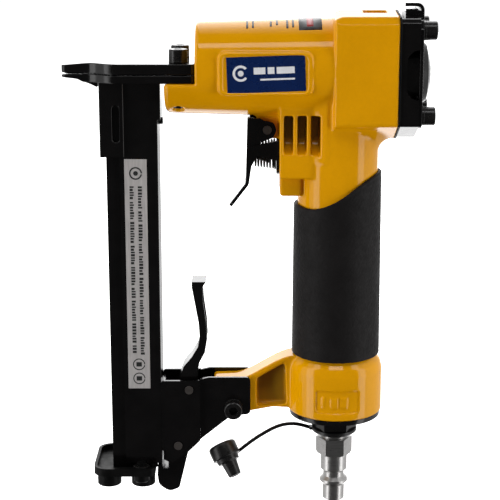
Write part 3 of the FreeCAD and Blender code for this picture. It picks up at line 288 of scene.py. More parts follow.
def pebbled_rubber():
    s = Surface("pebbled_rubber", Specular_IOR_Level=0.16)
    pebble = s.cells(1150)
    tone = s.ramp(s.noise(90, 4), (0.3, (0.0065, 0.0058, 0.0058)), (0.7, (0.0100, 0.0090, 0.0090)))
    dust = s.ramp(s.noise(330, 5, 0.7), (0.66, 0.0), (0.82, 0.3))
    colour = s.blend(dust, tone, (0.03, 0.029, 0.028))
    s.bump(pebble, 0.35, 0.0002)
    s.bump(s.noise(3200, 3), 0.12, 0.0001)
    return s.finish(colour, s.ramp(s.noise(400, 3), (0.3, 0.5), (0.7, 0.66)))


def smooth_black(name, low, high, rough_low, rough_high, specular=0.5, grain=1400.0, strength=0.06):
    s = Surface(name, Specular_IOR_Level=specular)
    tone = s.ramp(s.noise(180, 4), (0.3, low), (0.7, high))
    s.bump(s.noise(grain, 3), strength, 0.0001)
    return s.finish(tone, s.ramp(s.noise(300, 4), (0.3, rough_low), (0.7, rough_high)))


def label_film(name, low, high, rough_low, rough_high, metallic=0.0):
    s = Surface(name, Metallic=metallic, Coat_Weight=0.2, Coat_Roughness=0.2)
    weave = s.noise(1600, 3, 0.6, s.stretched(1, 1, 0.08))
    tone = s.ramp(weave, (0.3, low), (0.7, high))
    smear = s.ramp(s.noise(55, 3), (0.3, 0.93), (0.7, 1.0))
    s.bump(s.noise(260, 2), 0.03, 0.0002)
    rough = s.ramp(s.noise(200, 3), (0.3, rough_low), (0.7, rough_high))
    return s.finish(s.blend(1.0, tone, smear, "MULTIPLY"), rough)


PAINT = yellow_paint()
BLACK = black_lacquer()
OXIDE = black_oxide()
GRIP = pebbled_rubber()
BRIGHT = steel("ground_steel", (0.42, 0.42, 0.43), (0.6, 0.6, 0.61), 0.2, 0.34)
SPRING = steel("spring_wire", (0.014, 0.013, 0.013), (0.035, 0.033, 0.032), 0.25, 0.4, (1, 1, 1), 900.0)
CHROME = steel("plug_plating", (0.5, 0.49, 0.48), (0.64, 0.63, 0.62), 0.26, 0.38, (1, 1, 26), 220.0)
ALUMINIUM = steel("anodised_aluminium", (0.5, 0.5, 0.5), (0.62, 0.62, 0.62), 0.3, 0.45, (26, 1, 1))
PLASTIC = smooth_black("acetal", (0.011, 0.011, 0.011), (0.018, 0.018, 0.018), 0.38, 0.52)
SEAL = smooth_black("nitrile", (0.003, 0.003, 0.003), (0.006, 0.006, 0.006), 0.5, 0.65, 0.15)
RUBBER = smooth_black("strap_rubber", (0.0035, 0.0034, 0.0035), (0.0065, 0.0062, 0.0063), 0.26, 0.4)
TRAY = smooth_black("tray_coating", (0.003, 0.003, 0.003), (0.006, 0.0058, 0.0058), 0.36, 0.5, 0.07)
PIN = smooth_black("pin_ends", (0.030, 0.026, 0.024), (0.045, 0.040, 0.037), 0.3, 0.45, 0.5, 900.0, 0.1)
NAVY = label_film("navy_film", (0.0014, 0.011, 0.066), (0.0022, 0.015, 0.082), 0.22, 0.34)
SILVER = label_film("silver_film", (0.44, 0.42, 0.41), (0.56, 0.53, 0.52), 0.4, 0.5, 0.25)
INK_WHITE = label_film("white_ink", (0.72, 0.72, 0.74), (0.82, 0.82, 0.84), 0.3, 0.4)
INK_BLACK = label_film("black_ink", (0.012, 0.012, 0.012), (0.02, 0.02, 0.02), 0.35, 0.5)
INK_RED = label_film("red_ink", (0.3, 0.012, 0.014), (0.38, 0.02, 0.02), 0.3, 0.45)

SLOT_MATERIALS = {
    "body_paint": PAINT,
    "black_metal": BLACK,
    "black_screws": OXIDE,
    "bright_steel": BRIGHT,
    "spring_steel": SPRING,
    "cylinder_aluminium": ALUMINIUM,
    "moulded_plastic": PLASTIC,
    "seal_rubber": SEAL,
    "grip_rubber": GRIP,
    "strap_rubber": RUBBER,
    "plug_chrome": CHROME,
    "pad_labels": NAVY,
}

# ---------------------------------------------------------------- mesh helpers


def piece(name, vertices, faces, material, body, node=None, smooth=True):
    """A mesh object in millimetres turned into a finished piece."""
    mesh = bpy.data.meshes.new(name)
    points = [tuple(float(c) * MM for c in vertex) for vertex in vertices]
    mesh.from_pydata(points, [], [tuple(int(i) for i in face) for face in faces])
    return dress(mesh, name, material, body, node, smooth)


def dress(mesh, name, material, body, node=None, smooth=True):
    """Makes an object of a mesh, with its material and body, and hides the CAD node that it stands for."""
    mesh.validate()
    mesh.update()
    mesh.polygons.foreach_set("use_smooth", [smooth] * len(mesh.polygons))
    mesh.materials.append(material)
    made = bpy.data.objects.new(name, mesh)
    scene.collection.objects.link(made)
    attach(made, body)
    if node:
        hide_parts(node)
    return made


def soften(thing, width):
    """Small rounded edges by a bevel that leaves the mesh itself alone."""
    bevel = thing.modifiers.new("edges", "BEVEL")
    bevel.width = width * MM
    bevel.segments = 2
    bevel.limit_method = "ANGLE"
    bevel.angle_limit = math.radians(35.0)
    bevel.harden_normals = True
    bevel.use_clamp_overlap = True


def axis_frame(direction):
    """A unit axis and two unit directions square to it and to each other."""
    direction = Vector(direction).normalized()
    across = direction.orthogonal().normalized()
    return direction, across, direction.cross(across)


def lathe(name, profile, start, direction, material, body, node):
    """Turns (radius, distance along the axis) pairs about an axis; closed where the radius is 0."""
    steps = 72
    direction, across, other = axis_frame(direction)
    vertices = []
    rings = []
    for radius, along in profile:
        centre = Vector(start) + direction * along
        if not radius:
            rings.append([len(vertices)])
            vertices.append(centre)
            continue
        rings.append(list(range(len(vertices), len(vertices) + steps)))
        for step in range(steps):
            turn = 2 * math.pi * step / steps
            spoke = across * math.cos(turn) + other * math.sin(turn)
            vertices.append(centre + spoke * radius)
    faces = []
    for low, high in zip(rings, rings[1:]):
        for step in range(steps):
            ahead = (step + 1) % steps
            if len(low) == 1:
                faces.append((low[0], high[ahead], high[step]))
            elif len(high) == 1:
                faces.append((low[step], low[ahead], high[0]))
            else:
                faces.append((low[step], low[ahead], high[ahead], high[step]))
    return piece(name, vertices, faces, material, body, node)


def rounded_profile(points, radii):
    """A profile with its corners rounded by the given radii."""
    arc = 5
    made = []
    for index, (point, radius) in enumerate(zip(points, radii)):
        if radius <= 0 or index in (0, len(points) - 1):
            made.append(point)
            continue
        here = Vector(point)
        before = Vector(points[index - 1]) - here
        after = Vector(points[index + 1]) - here
        reach = min(radius, before.length * 0.49, after.length * 0.49)
        first = here + before.normalized() * reach
        last = here + after.normalized() * reach
        for step in range(arc + 1):
            t = step / arc
            spot = first * (1 - t) ** 2 + here * 2 * t * (1 - t) + last * t * t
            made.append((spot.x, spot.y))
    return made


def coil(name, node, body, start, direction, length, radii, wire, turns):
    """A helical spring of round wire with closed ends; radii are the outer ones at its start and end."""
    closed_turns = 0.8
    steps_in_turn = 36
    direction, across, other = axis_frame(direction)
    count = int(turns * steps_in_turn)
    ring = 10
    vertices, faces = [], []
    for step in range(count + 1):
        share = step / count
        turned = share * turns
        if turned < closed_turns:
            along = wire * turned
        elif turned > turns - closed_turns:
            along = length - wire * (turns - turned)
        else:
            middle = (turned - closed_turns) / (turns - 2 * closed_turns)
            along = wire * closed_turns + middle * (length - 2 * wire * closed_turns)
        angle = 2 * math.pi * turned
        spoke = across * math.cos(angle) + other * math.sin(angle)
        radius = radii[0] + (radii[1] - radii[0]) * share - wire / 2
        along = wire / 2 + along * (length - wire) / length
        centre = Vector(start) + direction * along + spoke * radius
        for corner in range(ring):
            a = 2 * math.pi * corner / ring
            vertices.append(centre + (spoke * math.cos(a) + direction * math.sin(a)) * wire / 2)
    for step in range(count):
        for corner in range(ring):
            ahead = (corner + 1) % ring
            a, b = step * ring + corner, step * ring + ahead
            faces.append((a, b, b + ring, a + ring))
    faces.append(tuple(range(ring))[::-1])
    faces.append(tuple(range(count * ring, count * ring + ring)))
    return piece(name, vertices, faces, SPRING, body, node)


# ---------------------------------------------------------------- distance fields


def use_grid(low, high, step):
    """Sets the sample points X, Y, Z of the near half space that the fields below are built on."""
    global STEP, FIELD_LOW, COUNTS, X, Y, Z
    STEP, FIELD_LOW = step, low
    COUNTS = [int(round((top - bottom) / step)) + 1 for bottom, top in zip(low, high)]
    X, Y, Z = (
        (np.float32(bottom) + np.arange(count, dtype=np.float32) * np.float32(step)).reshape(shape)
        for bottom, count, shape in zip(low, COUNTS, ((-1, 1, 1), (1, -1, 1), (1, 1, -1)))
    )


def join(a, b, radius):
    """Union with a concave fillet, whose radius may vary over the field."""
    inner = np.hypot(np.maximum(radius - a, 0), np.maximum(radius - b, 0))
    return np.maximum(radius, np.minimum(a, b)) - inner


def meet(a, b, radius=0.0):
    """Overlap with a rounded edge."""
    if radius <= 0:
        return np.maximum(a, b)
    outer = np.hypot(np.maximum(radius + a, 0), np.maximum(radius + b, 0))
    return np.minimum(-radius, np.maximum(a, b)) + outer


def carve(a, b, radius):
    """The first solid less the second, with a rounded edge."""
    return meet(a, -b, radius)


def between(values, low, high):
    return np.maximum(low - values, values - high)


def outline(points, u, v, rounding):
    """Signed distance to a polygon over two of the field's axes, with its corners softened."""
    u, v = np.broadcast_arrays(u, v)
    best = np.full(u.shape, 1e9, np.float32)
    inside = np.zeros(u.shape, bool)
    for (u0, v0), (u1, v1) in zip(points, points[1:] + points[:1]):
        du, dv = u1 - u0, v1 - v0
        along = np.clip(((u - u0) * du + (v - v0) * dv) / (du * du + dv * dv), 0, 1)
        best = np.minimum(best, np.hypot(u - u0 - along * du, v - v0 - along * dv))
        crosses = (v0 > v) != (v1 > v)
        if dv:
            inside ^= crosses & (u < u0 + (v - v0) * du / dv)
    field = np.where(inside, -best, best)
    width = max(1, int(round(rounding / STEP)))
    kernel = np.ones(2 * width + 1, np.float32) / (2 * width + 1)
    for axis in [a for a in range(3) if field.shape[a] > 1]:
        pad = [(0, 0)] * 3
        pad[axis] = (width, width)
        padded = np.pad(field, pad, mode="edge")
        total = np.zeros_like(field)
        for offset in range(2 * width + 1):
            take = [slice(None)] * 3
            take[axis] = slice(offset, offset + field.shape[axis])
            total += padded[tuple(take)] * kernel[offset]
        field = total
    return field


def rectangle(x, z, rounding):
    """An outline from the (low, high) pairs of X and Z."""
    return outline([(x[0], z[0]), (x[1], z[0]), (x[1], z[1]), (x[0], z[1])], X, Z, rounding)


def lying_cylinder(z, radius, x_from, x_to, y=0.0):
    return meet(np.hypot(Y - y, Z - z) - radius, between(X, x_from, x_to))


def standing_cylinder(x, radius, z_from, z_to):
    return meet(np.hypot(X - x, Y) - radius, between(Z, z_from, z_to))


def cross_hole(x, z, radius):
    return np.hypot(X - x, Z - z) - radius + 0 * Y


BARREL_START = 47.0
BARREL_Z = 2.3
HANDLE_X = 126.6
FACE_NORM = 3.162  # length of (1, 3), so that the head's slanted faces stay distances


def barrel_radius(x):
    return 20.4 + (x - BARREL_START) * (2.3 / 79.0)


def barrel_field():
    """The tapered barrel, cut back under the nose plates, with the pad that carries the label."""
    shell = np.hypot(Y, Z - BARREL_Z) - barrel_radius(X)
    shell = meet(shell, Y - 21.8 + 0 * Z, 2.0)
    shell = meet(shell, between(X, BARREL_START, 130.0), 2.6)
    nose_seat = meet(between(X, 30.0, 61.0), -3.2 - Z, 0.0) + 0 * Y
    barrel = carve(shell, nose_seat, 1.6)
    pad = meet(rectangle((71.6, 113.7), (-7.9, 11.2), 2.6), Y - 22.0, 0.5)
    barrel = join(barrel, pad, 0.8)
    recess = meet(rectangle((73.6, 111.7), (-6.8, 10.1), 1.8), 21.4 - Y, 0.0)
    return carve(barrel, recess, 0.25)


def head_field():
    """The wide end that the cylinder cap sits on, with slanted front edges."""
    profile = [(-22.9, -21.5), (-22.9, 24.0), (-20.8, 26.6), (0.0, 28.4)]
    profile += [(-y, z) for y, z in reversed(profile[:3])] + [(5.0, -29.6), (-5.0, -29.6)]
    head = meet(outline(profile, Y, Z, 1.2), between(X, 123.5, 152.0), 0.0)
    slant = ((Y - 21.9) * 3 - (X - 123.3)) / FACE_NORM
    head = meet(head, slant, 0.4)
    crown = ((Z - 27.2 + Y * 0.08) * 3 - (X - 123.3)) / FACE_NORM
    head = meet(head, crown, 0.4)
    brow = (Y - 22.9) * 0.66 + (Z - 23.4) * 0.75
    return meet(head, brow, 0.3)


def trigger_blocks_field():
    """The valve block, the lobe under it and the lug that holds the trigger pin."""
    corners = [(99.2, -8.0), (99.2, -46.9), (114.6, -46.9), (114.6, -39.5), (120.8, -39.5), (120.8, -8.0)]
    valve_block = outline(corners, X, Z, 0.6)
    valve_block = meet(valve_block, Y - (15.0 + np.clip(X - 114.6, 0, 6.2) * 0.52), 0.9)
    lobe = meet(rectangle((99.4, 109.8), (-55.8, -38.0), 1.0), Y - 10.4, 1.0)
    corners = [(88.6, -10.0), (88.6, -22.5), (91.4, -29.4), (101.0, -29.8), (101.0, -10.0)]
    lug = meet(outline(corners, X, Z, 1.6), Y - 5.6, 1.0)
    return join(join(valve_block, lobe, 0.3), lug, 0.8)


def side_pocket(number):
    """One of the three pockets in the valve block's side; its floor rises to the surface at the bottom."""
    width, pitch = 4.3, 6.15
    left = 101.0 + number * pitch
    pocket = meet(between(X, left, left + width), between(Z, -36.3, -17.9), 0.8)
    rise = np.clip((-28.2 - Z) / 8.1, 0.0, 1.0)
    return meet(pocket, 8.0 + 7.5 * rise**2 - Y, 0.8)


def foot_field():
    """The round foot under the grip, with its recess and three plain raised marks."""
    heights = [-176.0, -140.6, -139.8, -139.0, -138.2, -137.4, -136.9, -136.5, -133.1, -132.6, -132.0]
    radii = [22.4, 22.4, 22.3, 22.1, 21.85, 21.65, 21.5, 21.3, 18.5, 18.3, 18.3]
    reach = np.hypot(X - HANDLE_X, Y)
    foot = reach - np.interp(Z.ravel(), heights, radii).astype(np.float32).reshape(Z.shape)
    foot = meet(foot, between(Z, -161.2, -130.0) + 0 * X, 0.5)
    panel = meet(between(X, 116.9, 136.5), between(Z, -157.6, -146.6), 1.0) + 0 * Y
    foot = carve(foot, meet(panel, 21.6 - reach, 0.0), 0.3)
    for left, right in ((119.4, 120.8), (123.4, 126.8), (128.2, 131.4)):
        mark = meet(between(X, left, right), between(Z, -155.0, -149.6), 0.5)
        foot = join(foot, meet(mark, reach - 22.1, 0.2), 0.3)
    return foot


def arm_field():
    """The arm from the foot to the magazine, with a window that leaves a thin web."""
    corners = [
        (114.0, -133.3), (108.0, -133.4), (104.4, -134.0), (100.9, -135.2), (97.4, -136.9), (94.4, -138.6),
        (91.4, -140.3), (88.4, -142.1), (85.6, -143.6), (82.5, -144.8), (79.0, -145.4), (68.3, -145.6),
        (68.3, -163.4), (76.0, -163.2), (86.0, -161.4), (96.5, -159.4), (114.0, -160.2),
    ]
    arm = meet(outline(corners, X, Z, 1.2), Y - 6.9, 0.9)
    window = outline([(89.0, -145.0), (102.4, -137.2), (103.2, -158.0), (89.0, -159.2)], X, Z, 1.2)
    return carve(arm, meet(window, 1.2 - Y, 1.0), 0.5)


def casting_field():
    """The die-cast housing, near half; the far half mirrors it."""
    body = join(barrel_field(), head_field(), 0.6)
    handle = standing_cylinder(HANDLE_X, 18.6, -140.0, -8.0)
    sweep = 1.6 + 5.0 * np.clip((X - 136.0) / 7.0, 0, 1)
    body = join(body, handle, sweep)
    body = join(body, trigger_blocks_field(), 1.4)
    for number in range(3):
        body = carve(body, side_pocket(number), 0.6)
    body = join(body, foot_field(), 0.0)
    body = join(body, arm_field(), 1.6)

    hollows = [
        lying_cylinder(0.0, 15.7, 66.0, 160.0),
        lying_cylinder(0.0, 19.0, 128.0, 160.0),
        meet(between(X, 41.0, 81.0), meet(Y - 7.2, between(Z, -2.1, 1.1))),
        standing_cylinder(HANDLE_X, 14.5, -170.0, -42.0),
        standing_cylinder(HANDLE_X, 8.6, -60.0, -9.0),
        standing_cylinder(HANDLE_X, 17.05, -170.0, -147.7),
        lying_cylinder(-37.4, 6.65, 97.0, 115.9),
        np.hypot(X - 53.3, Y - 10.0) - 2.5 + 0 * Z,
        meet(cross_hole(93.6, -25.4, 2.05), between(Z, -30.0, -20.0)),
        cross_hole(77.8, -159.0, 2.7),
    ]
    for level in (20.5, -17.7):
        hollows.append(lying_cylinder(level, 2.5, 138.0, 160.0, 16.0))
    for hollow in hollows:
        body = carve(body, hollow, 0.35)
    return np.ascontiguousarray(np.broadcast_to(body, COUNTS), dtype=np.float32)


def field_mesh(name, half, cuts=()):
    """The closed surface of a field mirrored in the plane Y = 0, less any one-sided (x, y, z) range cuts."""
    full = np.concatenate([half[:, :0:-1], half], axis=1)
    across = (np.arange(full.shape[1]) - COUNTS[1] + 1).reshape(1, -1, 1) * STEP
    for x, y, z in cuts:
        slot = meet(meet(between(X, *x), between(across, *y), 1.2), between(Z, *z), 0.0)
        full = carve(full, slot, 0.3)
    reach = 3 * STEP
    full = np.clip(full, -reach, reach)
    grid = openvdb.FloatGrid(reach)
    grid.copyFromArray(full)
    points, triangles, quads = grid.convertToPolygons(0.0, 0.0)
    low = np.array([FIELD_LOW[0], -(COUNTS[1] - 1) * STEP, FIELD_LOW[2]])
    points = points.astype(np.float64) * STEP + low
    mesh = bpy.data.meshes.new(name)
    corner_count = 3 * len(triangles) + 4 * len(quads)
    mesh.vertices.add(len(points))
    mesh.vertices.foreach_set("co", (points * MM).ravel())
    mesh.loops.add(corner_count)
    mesh.polygons.add(len(triangles) + len(quads))
    corners = np.concatenate([triangles[:, ::-1].ravel(), quads[:, ::-1].ravel()]).astype(np.int32)
    quad_starts = 3 * len(triangles) + np.arange(len(quads)) * 4
    starts = np.concatenate([np.arange(len(triangles)) * 3, quad_starts])
    mesh.loops.foreach_set("vertex_index", corners)
    mesh.polygons.foreach_set("loop_start", starts.astype(np.int32))
    mesh.update(calc_edges=True)
    return mesh


use_grid((44.0, 0.0, -166.0), (155.0, 25.0, 33.0), 0.5)
TOP_SLOT = ((136.8, 147.3), (-7.7, 0.4), (24.8, 40.0))
casting_mesh = field_mesh("casting", casting_field(), [TOP_SLOT])
dress(casting_mesh, "casting", PAINT, "gun_body", "housing")

# ---------------------------------------------------------------- nose plates

use_grid((-2.0, 0.0, -7.0), (62.5, 18.5, 7.0), 0.25)
NOSE_TIP, NOSE_BACK = 0.1, 60.9
NOSE_HALF = [
    (0.0, 7.4), (1.4, 9.2), (12.0, 9.0), (15.6, 10.9), (21.0, 15.2), (25.0, 17.0), (NOSE_BACK, 17.0),
    (NOSE_BACK, -5.0), (0.0, -5.0),
]
nose_plan = outline(NOSE_HALF, X, Y, 1.7)
nose_plan = np.maximum(nose_plan, between(X, NOSE_TIP, NOSE_BACK))
screw_hole = np.hypot(X - 53.3, Y - 10.0) - 2.7 + 0 * Z
part_line = np.clip((3.2 - X) / 3.2, 0.0, 1.0) * 0.3


def nose_cover_field():
    top = np.minimum(5.6, 4.4 + (X + 1.0) * 0.08)
    plate = meet(nose_plan, np.maximum(0.75 + part_line - Z, Z - top), 0.45)
    return carve(plate, screw_hole, 0.2)


def driver_guide_field():
    bottom = np.interp(X.ravel(), [-2.0, 4.3, 7.4, 10.0], [-0.9, -1.5, -1.9, -3.2]).reshape(X.shape)
    plate = meet(nose_plan, np.maximum(bottom - Z, Z - 0.45 + part_line), 0.35)
    toe = meet(outline([(8.5, -2.4), (13.5, -4.3), (16.7, -5.9), (16.7, -2.4)], X, Z, 0.5), Y - 9.0, 0.5)
    plate = join(plate, toe, 0.4)
    half_width = 6.7
    track = meet(Y - half_width + 0 * X, -0.5 - Z)
    feed = meet(Y - half_width + 0 * Z, between(X, 21.0, 41.2))
    plate = carve(carve(plate, track, 0.1), feed, 0.1)
    return carve(plate, screw_hole, 0.2)


for name, replaced, field in (
    ("cover_plate", "nose_cover", nose_cover_field()),
    ("guide_plate", "driver_guide", driver_guide_field()),
):
    field = np.ascontiguousarray(np.broadcast_to(field, COUNTS), dtype=np.float32)
    dress(field_mesh(name, field), name, BLACK, "gun_body", replaced)

# ---------------------------------------------------------------- rubber grip

GRIP_BOTTOM = -133.2
EDGE_LINE = [
    (100.0, -60.4), (106.6, -60.4), (111.4, -61.0), (116.0, -60.4), (120.0, -59.0), (124.0, -57.1),
    (128.4, -54.6), (132.4, -51.9), (136.4, -49.3), (140.6, -47.0), (145.0, -45.2), (152.0, -44.0),
]


def pebbles(around, height, pitch, seed):
    """Distance to the nearest of a field of jittered points, in pitches; wraps round the sleeve."""
    mean_radius, rows = 20.6, 160
    columns = int(round(2 * math.pi * mean_radius / pitch))
    u = around / (2 * math.pi) * columns
    v = height / pitch
    spread = np.random.default_rng(seed).random((columns, rows, 2))
    cell_u, cell_v = np.floor(u).astype(int), np.floor(v).astype(int)
    nearest = np.full(u.shape, 9.0)
    for du in (-1, 0, 1):
        for dv in (-1, 0, 1):
            cu, cv = cell_u + du, cell_v + dv
            jitter = spread[cu % columns, cv % rows]
            gap = np.hypot(cu + jitter[..., 0] - u, cv + jitter[..., 1] - v)
            nearest = np.minimum(nearest, gap)
    return nearest


def build_grip():
    """The rubber sleeve: a closed tube with a wavy top edge, round lips and raised pebbles."""
    columns, rows = 500, 250
    inner = 18.62
    lip = 0.75
    pebble_height = 0.10
    radius_below, radius_above, level_above = 20.9, 20.3, -40.0
    around = np.arange(columns) * 2 * math.pi / columns
    edge_x, edge_z = zip(*EDGE_LINE)
    fine_x = np.linspace(edge_x[0], edge_x[-1], 300)
    fine_z = np.interp(fine_x, edge_x, edge_z)
    fine_z = np.convolve(np.pad(fine_z, 12, mode="edge"), np.ones(25) / 25, mode="valid")
    top = np.interp(HANDLE_X + 20.4 * np.cos(around), fine_x, fine_z)
    rings = [(inner, np.full(columns, GRIP_BOTTOM + 0.4))]

    def outer_radius(z):
        slope_span = level_above - GRIP_BOTTOM
        return radius_below + (z - GRIP_BOTTOM) * (radius_above - radius_below) / slope_span

    lip_angles = [math.pi / 2 * step / 5 for step in range(6)]
    for a in lip_angles:
        z = np.full(columns, GRIP_BOTTOM + lip * (1 - math.sin(a)))
        height = GRIP_BOTTOM + lip * (1 - math.cos(a)) + 0 * z
        rings.append((outer_radius(z) - lip + lip * math.sin(a), height))
    for row in range(1, rows):
        share = row / rows
        z = GRIP_BOTTOM + lip + (top - lip - GRIP_BOTTOM - lip) * share
        bumps = np.clip(1.0 - 1.55 * pebbles(around, z - GRIP_BOTTOM, pitch=1.25, seed=11) ** 2, 0, 1)
        fade = np.clip(np.minimum(z - GRIP_BOTTOM - 1.6, top - 1.8 - z), 0, 1)
        rings.append((outer_radius(z) - pebble_height + pebble_height * bumps * fade, z))
    for a in lip_angles:
        z = top - lip + lip * math.sin(a)
        rings.append((outer_radius(z) - lip * (1 - math.cos(a)) - 0.05, z))
    rings.append((np.full(columns, inner), top - 0.2))
    vertices = []
    for radius, z in rings:
        radius = np.broadcast_to(radius, around.shape)
        across, depth = HANDLE_X + radius * np.cos(around), radius * np.sin(around)
        vertices.append(np.stack([across, depth, z], axis=1))
    vertices = np.concatenate(vertices)
    faces = []
    total = len(rings)
    for row in range(total):
        low, high = row * columns, ((row + 1) % total) * columns
        for column in range(columns):
            ahead = (column + 1) % columns
            faces.append((low + column, low + ahead, high + ahead, high + column))
    piece("grip_rubber", vertices, faces, GRIP, "gun_body", "grip_sleeve")


build_grip()

# ---------------------------------------------------------------- springs

BACKWARD = (1, 0, 0)
UPWARD = (0, 0, 1)
valve_coil = coil(
    "valve_coil", "valve_spring", "gun_body",
    (87.4, 0, -37.6), BACKWARD, length=10.4, radii=(5.9, 7.3), wire=0.9, turns=7.6,
)
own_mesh(valve_coil)
low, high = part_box("pusher_spring")
length = (high.z - low.z) / MM
pusher_coil = coil(
    "pusher_coil", "pusher_spring", "magazine_slide",
    (31.0, 0, low.z / MM), UPWARD, length=length, radii=(4.0, 4.0), wire=0.7, turns=46,
)
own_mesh(pusher_coil)
low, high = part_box("head_valve_spring")
length = (high.x - low.x) / MM
head_coil = coil(
    "head_coil", "head_valve_spring", "gun_body",
    (low.x / MM, 0, 0), BACKWARD, length=length, radii=(12.6, 12.6), wire=1.6, turns=5,
)
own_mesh(head_coil)
coil(
    "latch_coil", "latch_spring", "gun_body",
    (51.2, -4.4, -178.0), (0, 1, 0), length=8.8, radii=(3.4, 3.4), wire=0.85, turns=9.5,
)

# ---------------------------------------------------------------- dust cap, strap

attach(strap, "gun_body")
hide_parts("dust_cap_strap")
strap_curve.materials.append(RUBBER)
TILT, LEAN = math.radians(28.0), math.radians(27.0)
cap_axis = Vector((math.sin(TILT) * math.cos(LEAN), -math.sin(LEAN), -math.cos(TILT) * math.cos(LEAN)))
cap_profile = rounded_profile(
    [
        (0.0, 0.0), (6.9, 0.0), (6.9, 7.2), (5.7, 7.2), (5.4, 9.6), (3.9, 9.6), (3.1, 16.8), (1.8, 16.8),
        (1.7, 14.0), (0.0, 14.0),
    ],
    [0, 1.6, 0.7, 0.3, 0.6, 0.5, 0.6, 0.3, 0.2, 0],
)
dust_cap = lathe(
    "dust_stopper", cap_profile, (71.6, 0, -181.0), cap_axis, RUBBER, "gun_body", "dust_cap"
)

# ---------------------------------------------------------------- labels


def flat_shapes(name, shapes, y_back, y_front, material, bevel=0.0):
    """Thin flat plates in the XZ plane, one for each corner list, as one piece."""
    vertices, faces = [], []
    for corners in shapes:
        count, base = len(corners), len(vertices)
        area = sum(x0 * z1 - x1 * z0 for (x0, z0), (x1, z1) in zip(corners, corners[1:] + corners[:1]))
        if (area > 0) == (y_front > y_back):
            corners = corners[::-1]
        vertices += [(x, y_back, z) for x, z in corners] + [(x, y_front, z) for x, z in corners]
        made = [tuple(range(count))[::-1], tuple(range(count, 2 * count))]
        for index in range(count):
            ahead = (index + 1) % count
            made.append((index, ahead, ahead + count, index + count))
        faces += [tuple(i + base for i in face) for face in made]
    thing = piece(name, vertices, faces, material, "gun_body", smooth=False)
    if bevel:
        soften(thing, bevel)


def turned(points, centre, degrees):
    a = math.radians(degrees)
    return [
        (
            centre[0] + (x - centre[0]) * math.cos(a) - (z - centre[1]) * math.sin(a),
            centre[1] + (x - centre[0]) * math.sin(a) + (z - centre[1]) * math.cos(a),
        )
        for x, z in points
    ]


def bar(x0, z0, x1, z1):
    return [(x0, z0), (x1, z0), (x1, z1), (x0, z1)]


def disc(x, z, radius, inner=0.0, start=0.0, stop=360.0):
    """Corners of an arc band or of a full round."""
    steps = 40
    outer = [math.radians(start + (stop - start) * i / steps) for i in range(steps + (stop - start < 360))]
    points = [(x + radius * math.cos(a), z + radius * math.sin(a)) for a in outer]
    if inner:
        points += [(x + inner * math.cos(a), z + inner * math.sin(a)) for a in reversed(outer)]
    return points


LABEL_TURN = 2.0
INK_HEIGHT = 0.03


def pad_label(side):
    """A navy film with a plain white emblem: side is -1 near and 1 far."""
    name = "near" if side < 0 else "far"
    centre = (92.9, 1.7)
    back, front = side * 21.38, side * 21.56
    film = turned(bar(75.4, -6.3, 110.4, 9.7), centre, -LABEL_TURN * side)
    flat_shapes(f"film_{name}", [film], back, front, NAVY, 0.05)
    shapes = [disc(81.6, 2.4, 3.6, 2.5, 40, 320), disc(81.6, 2.4, 1.3)]
    blocks = [(87.4, 5.2, 3.3, 3.0), (93.6, 3.0, 3.3, 3.0), (97.6, 8.0, 3.3, 3.0), (90.2, 15.4, -0.6, 0.8)]
    for left, width, level, tall in blocks:
        shapes.append(bar(left, level - tall / 2, left + width, level + tall / 2))
    if side > 0:
        shapes = [[(2 * centre[0] - x, z) for x, z in points] for points in shapes]
    shapes = [turned(points, centre, -LABEL_TURN * side) for points in shapes]
    flat_shapes(f"marks_{name}", shapes, front, front + side * INK_HEIGHT, INK_WHITE)


pad_label(-1)
pad_label(1)


def magazine_label():
    """A silver film down the near side of the magazine with plain dark marks."""
    left, right = 28.0, 38.3
    top, bottom = -38.5, -149.0
    back, front = -9.6, -9.72
    line_gap, word_gap = 0.38, 0.9
    flat_shapes("film_magazine", [bar(left, bottom, right, top)], back, front, SILVER, 0.04)
    centre = (left + right) / 2
    shapes = [disc(centre, top - 6.6, 3.0, 2.3), disc(centre, top - 6.6, 1.1)]
    for x in (centre - 2.9, centre + 0.9):
        z = top - 12.6
        while z > bottom + 20.0:
            for _ in range(random.randint(3, 8)):
                tall = random.choice((0.75, 0.95, 1.15))
                shapes.append(bar(x, z - tall, x + random.choice((1.5, 1.9, 1.9)), z))
                z -= tall + line_gap
            z -= word_gap
    for level in (bottom + 5.0, bottom + 12.0):
        shapes.append(disc(centre, level, 2.9, 2.4))
        shapes.append(bar(centre - 1.3, level - 1.1, centre + 1.3, level + 1.1))
    flat_shapes("marks_magazine", shapes, front, front - 0.02, INK_BLACK)


magazine_label()


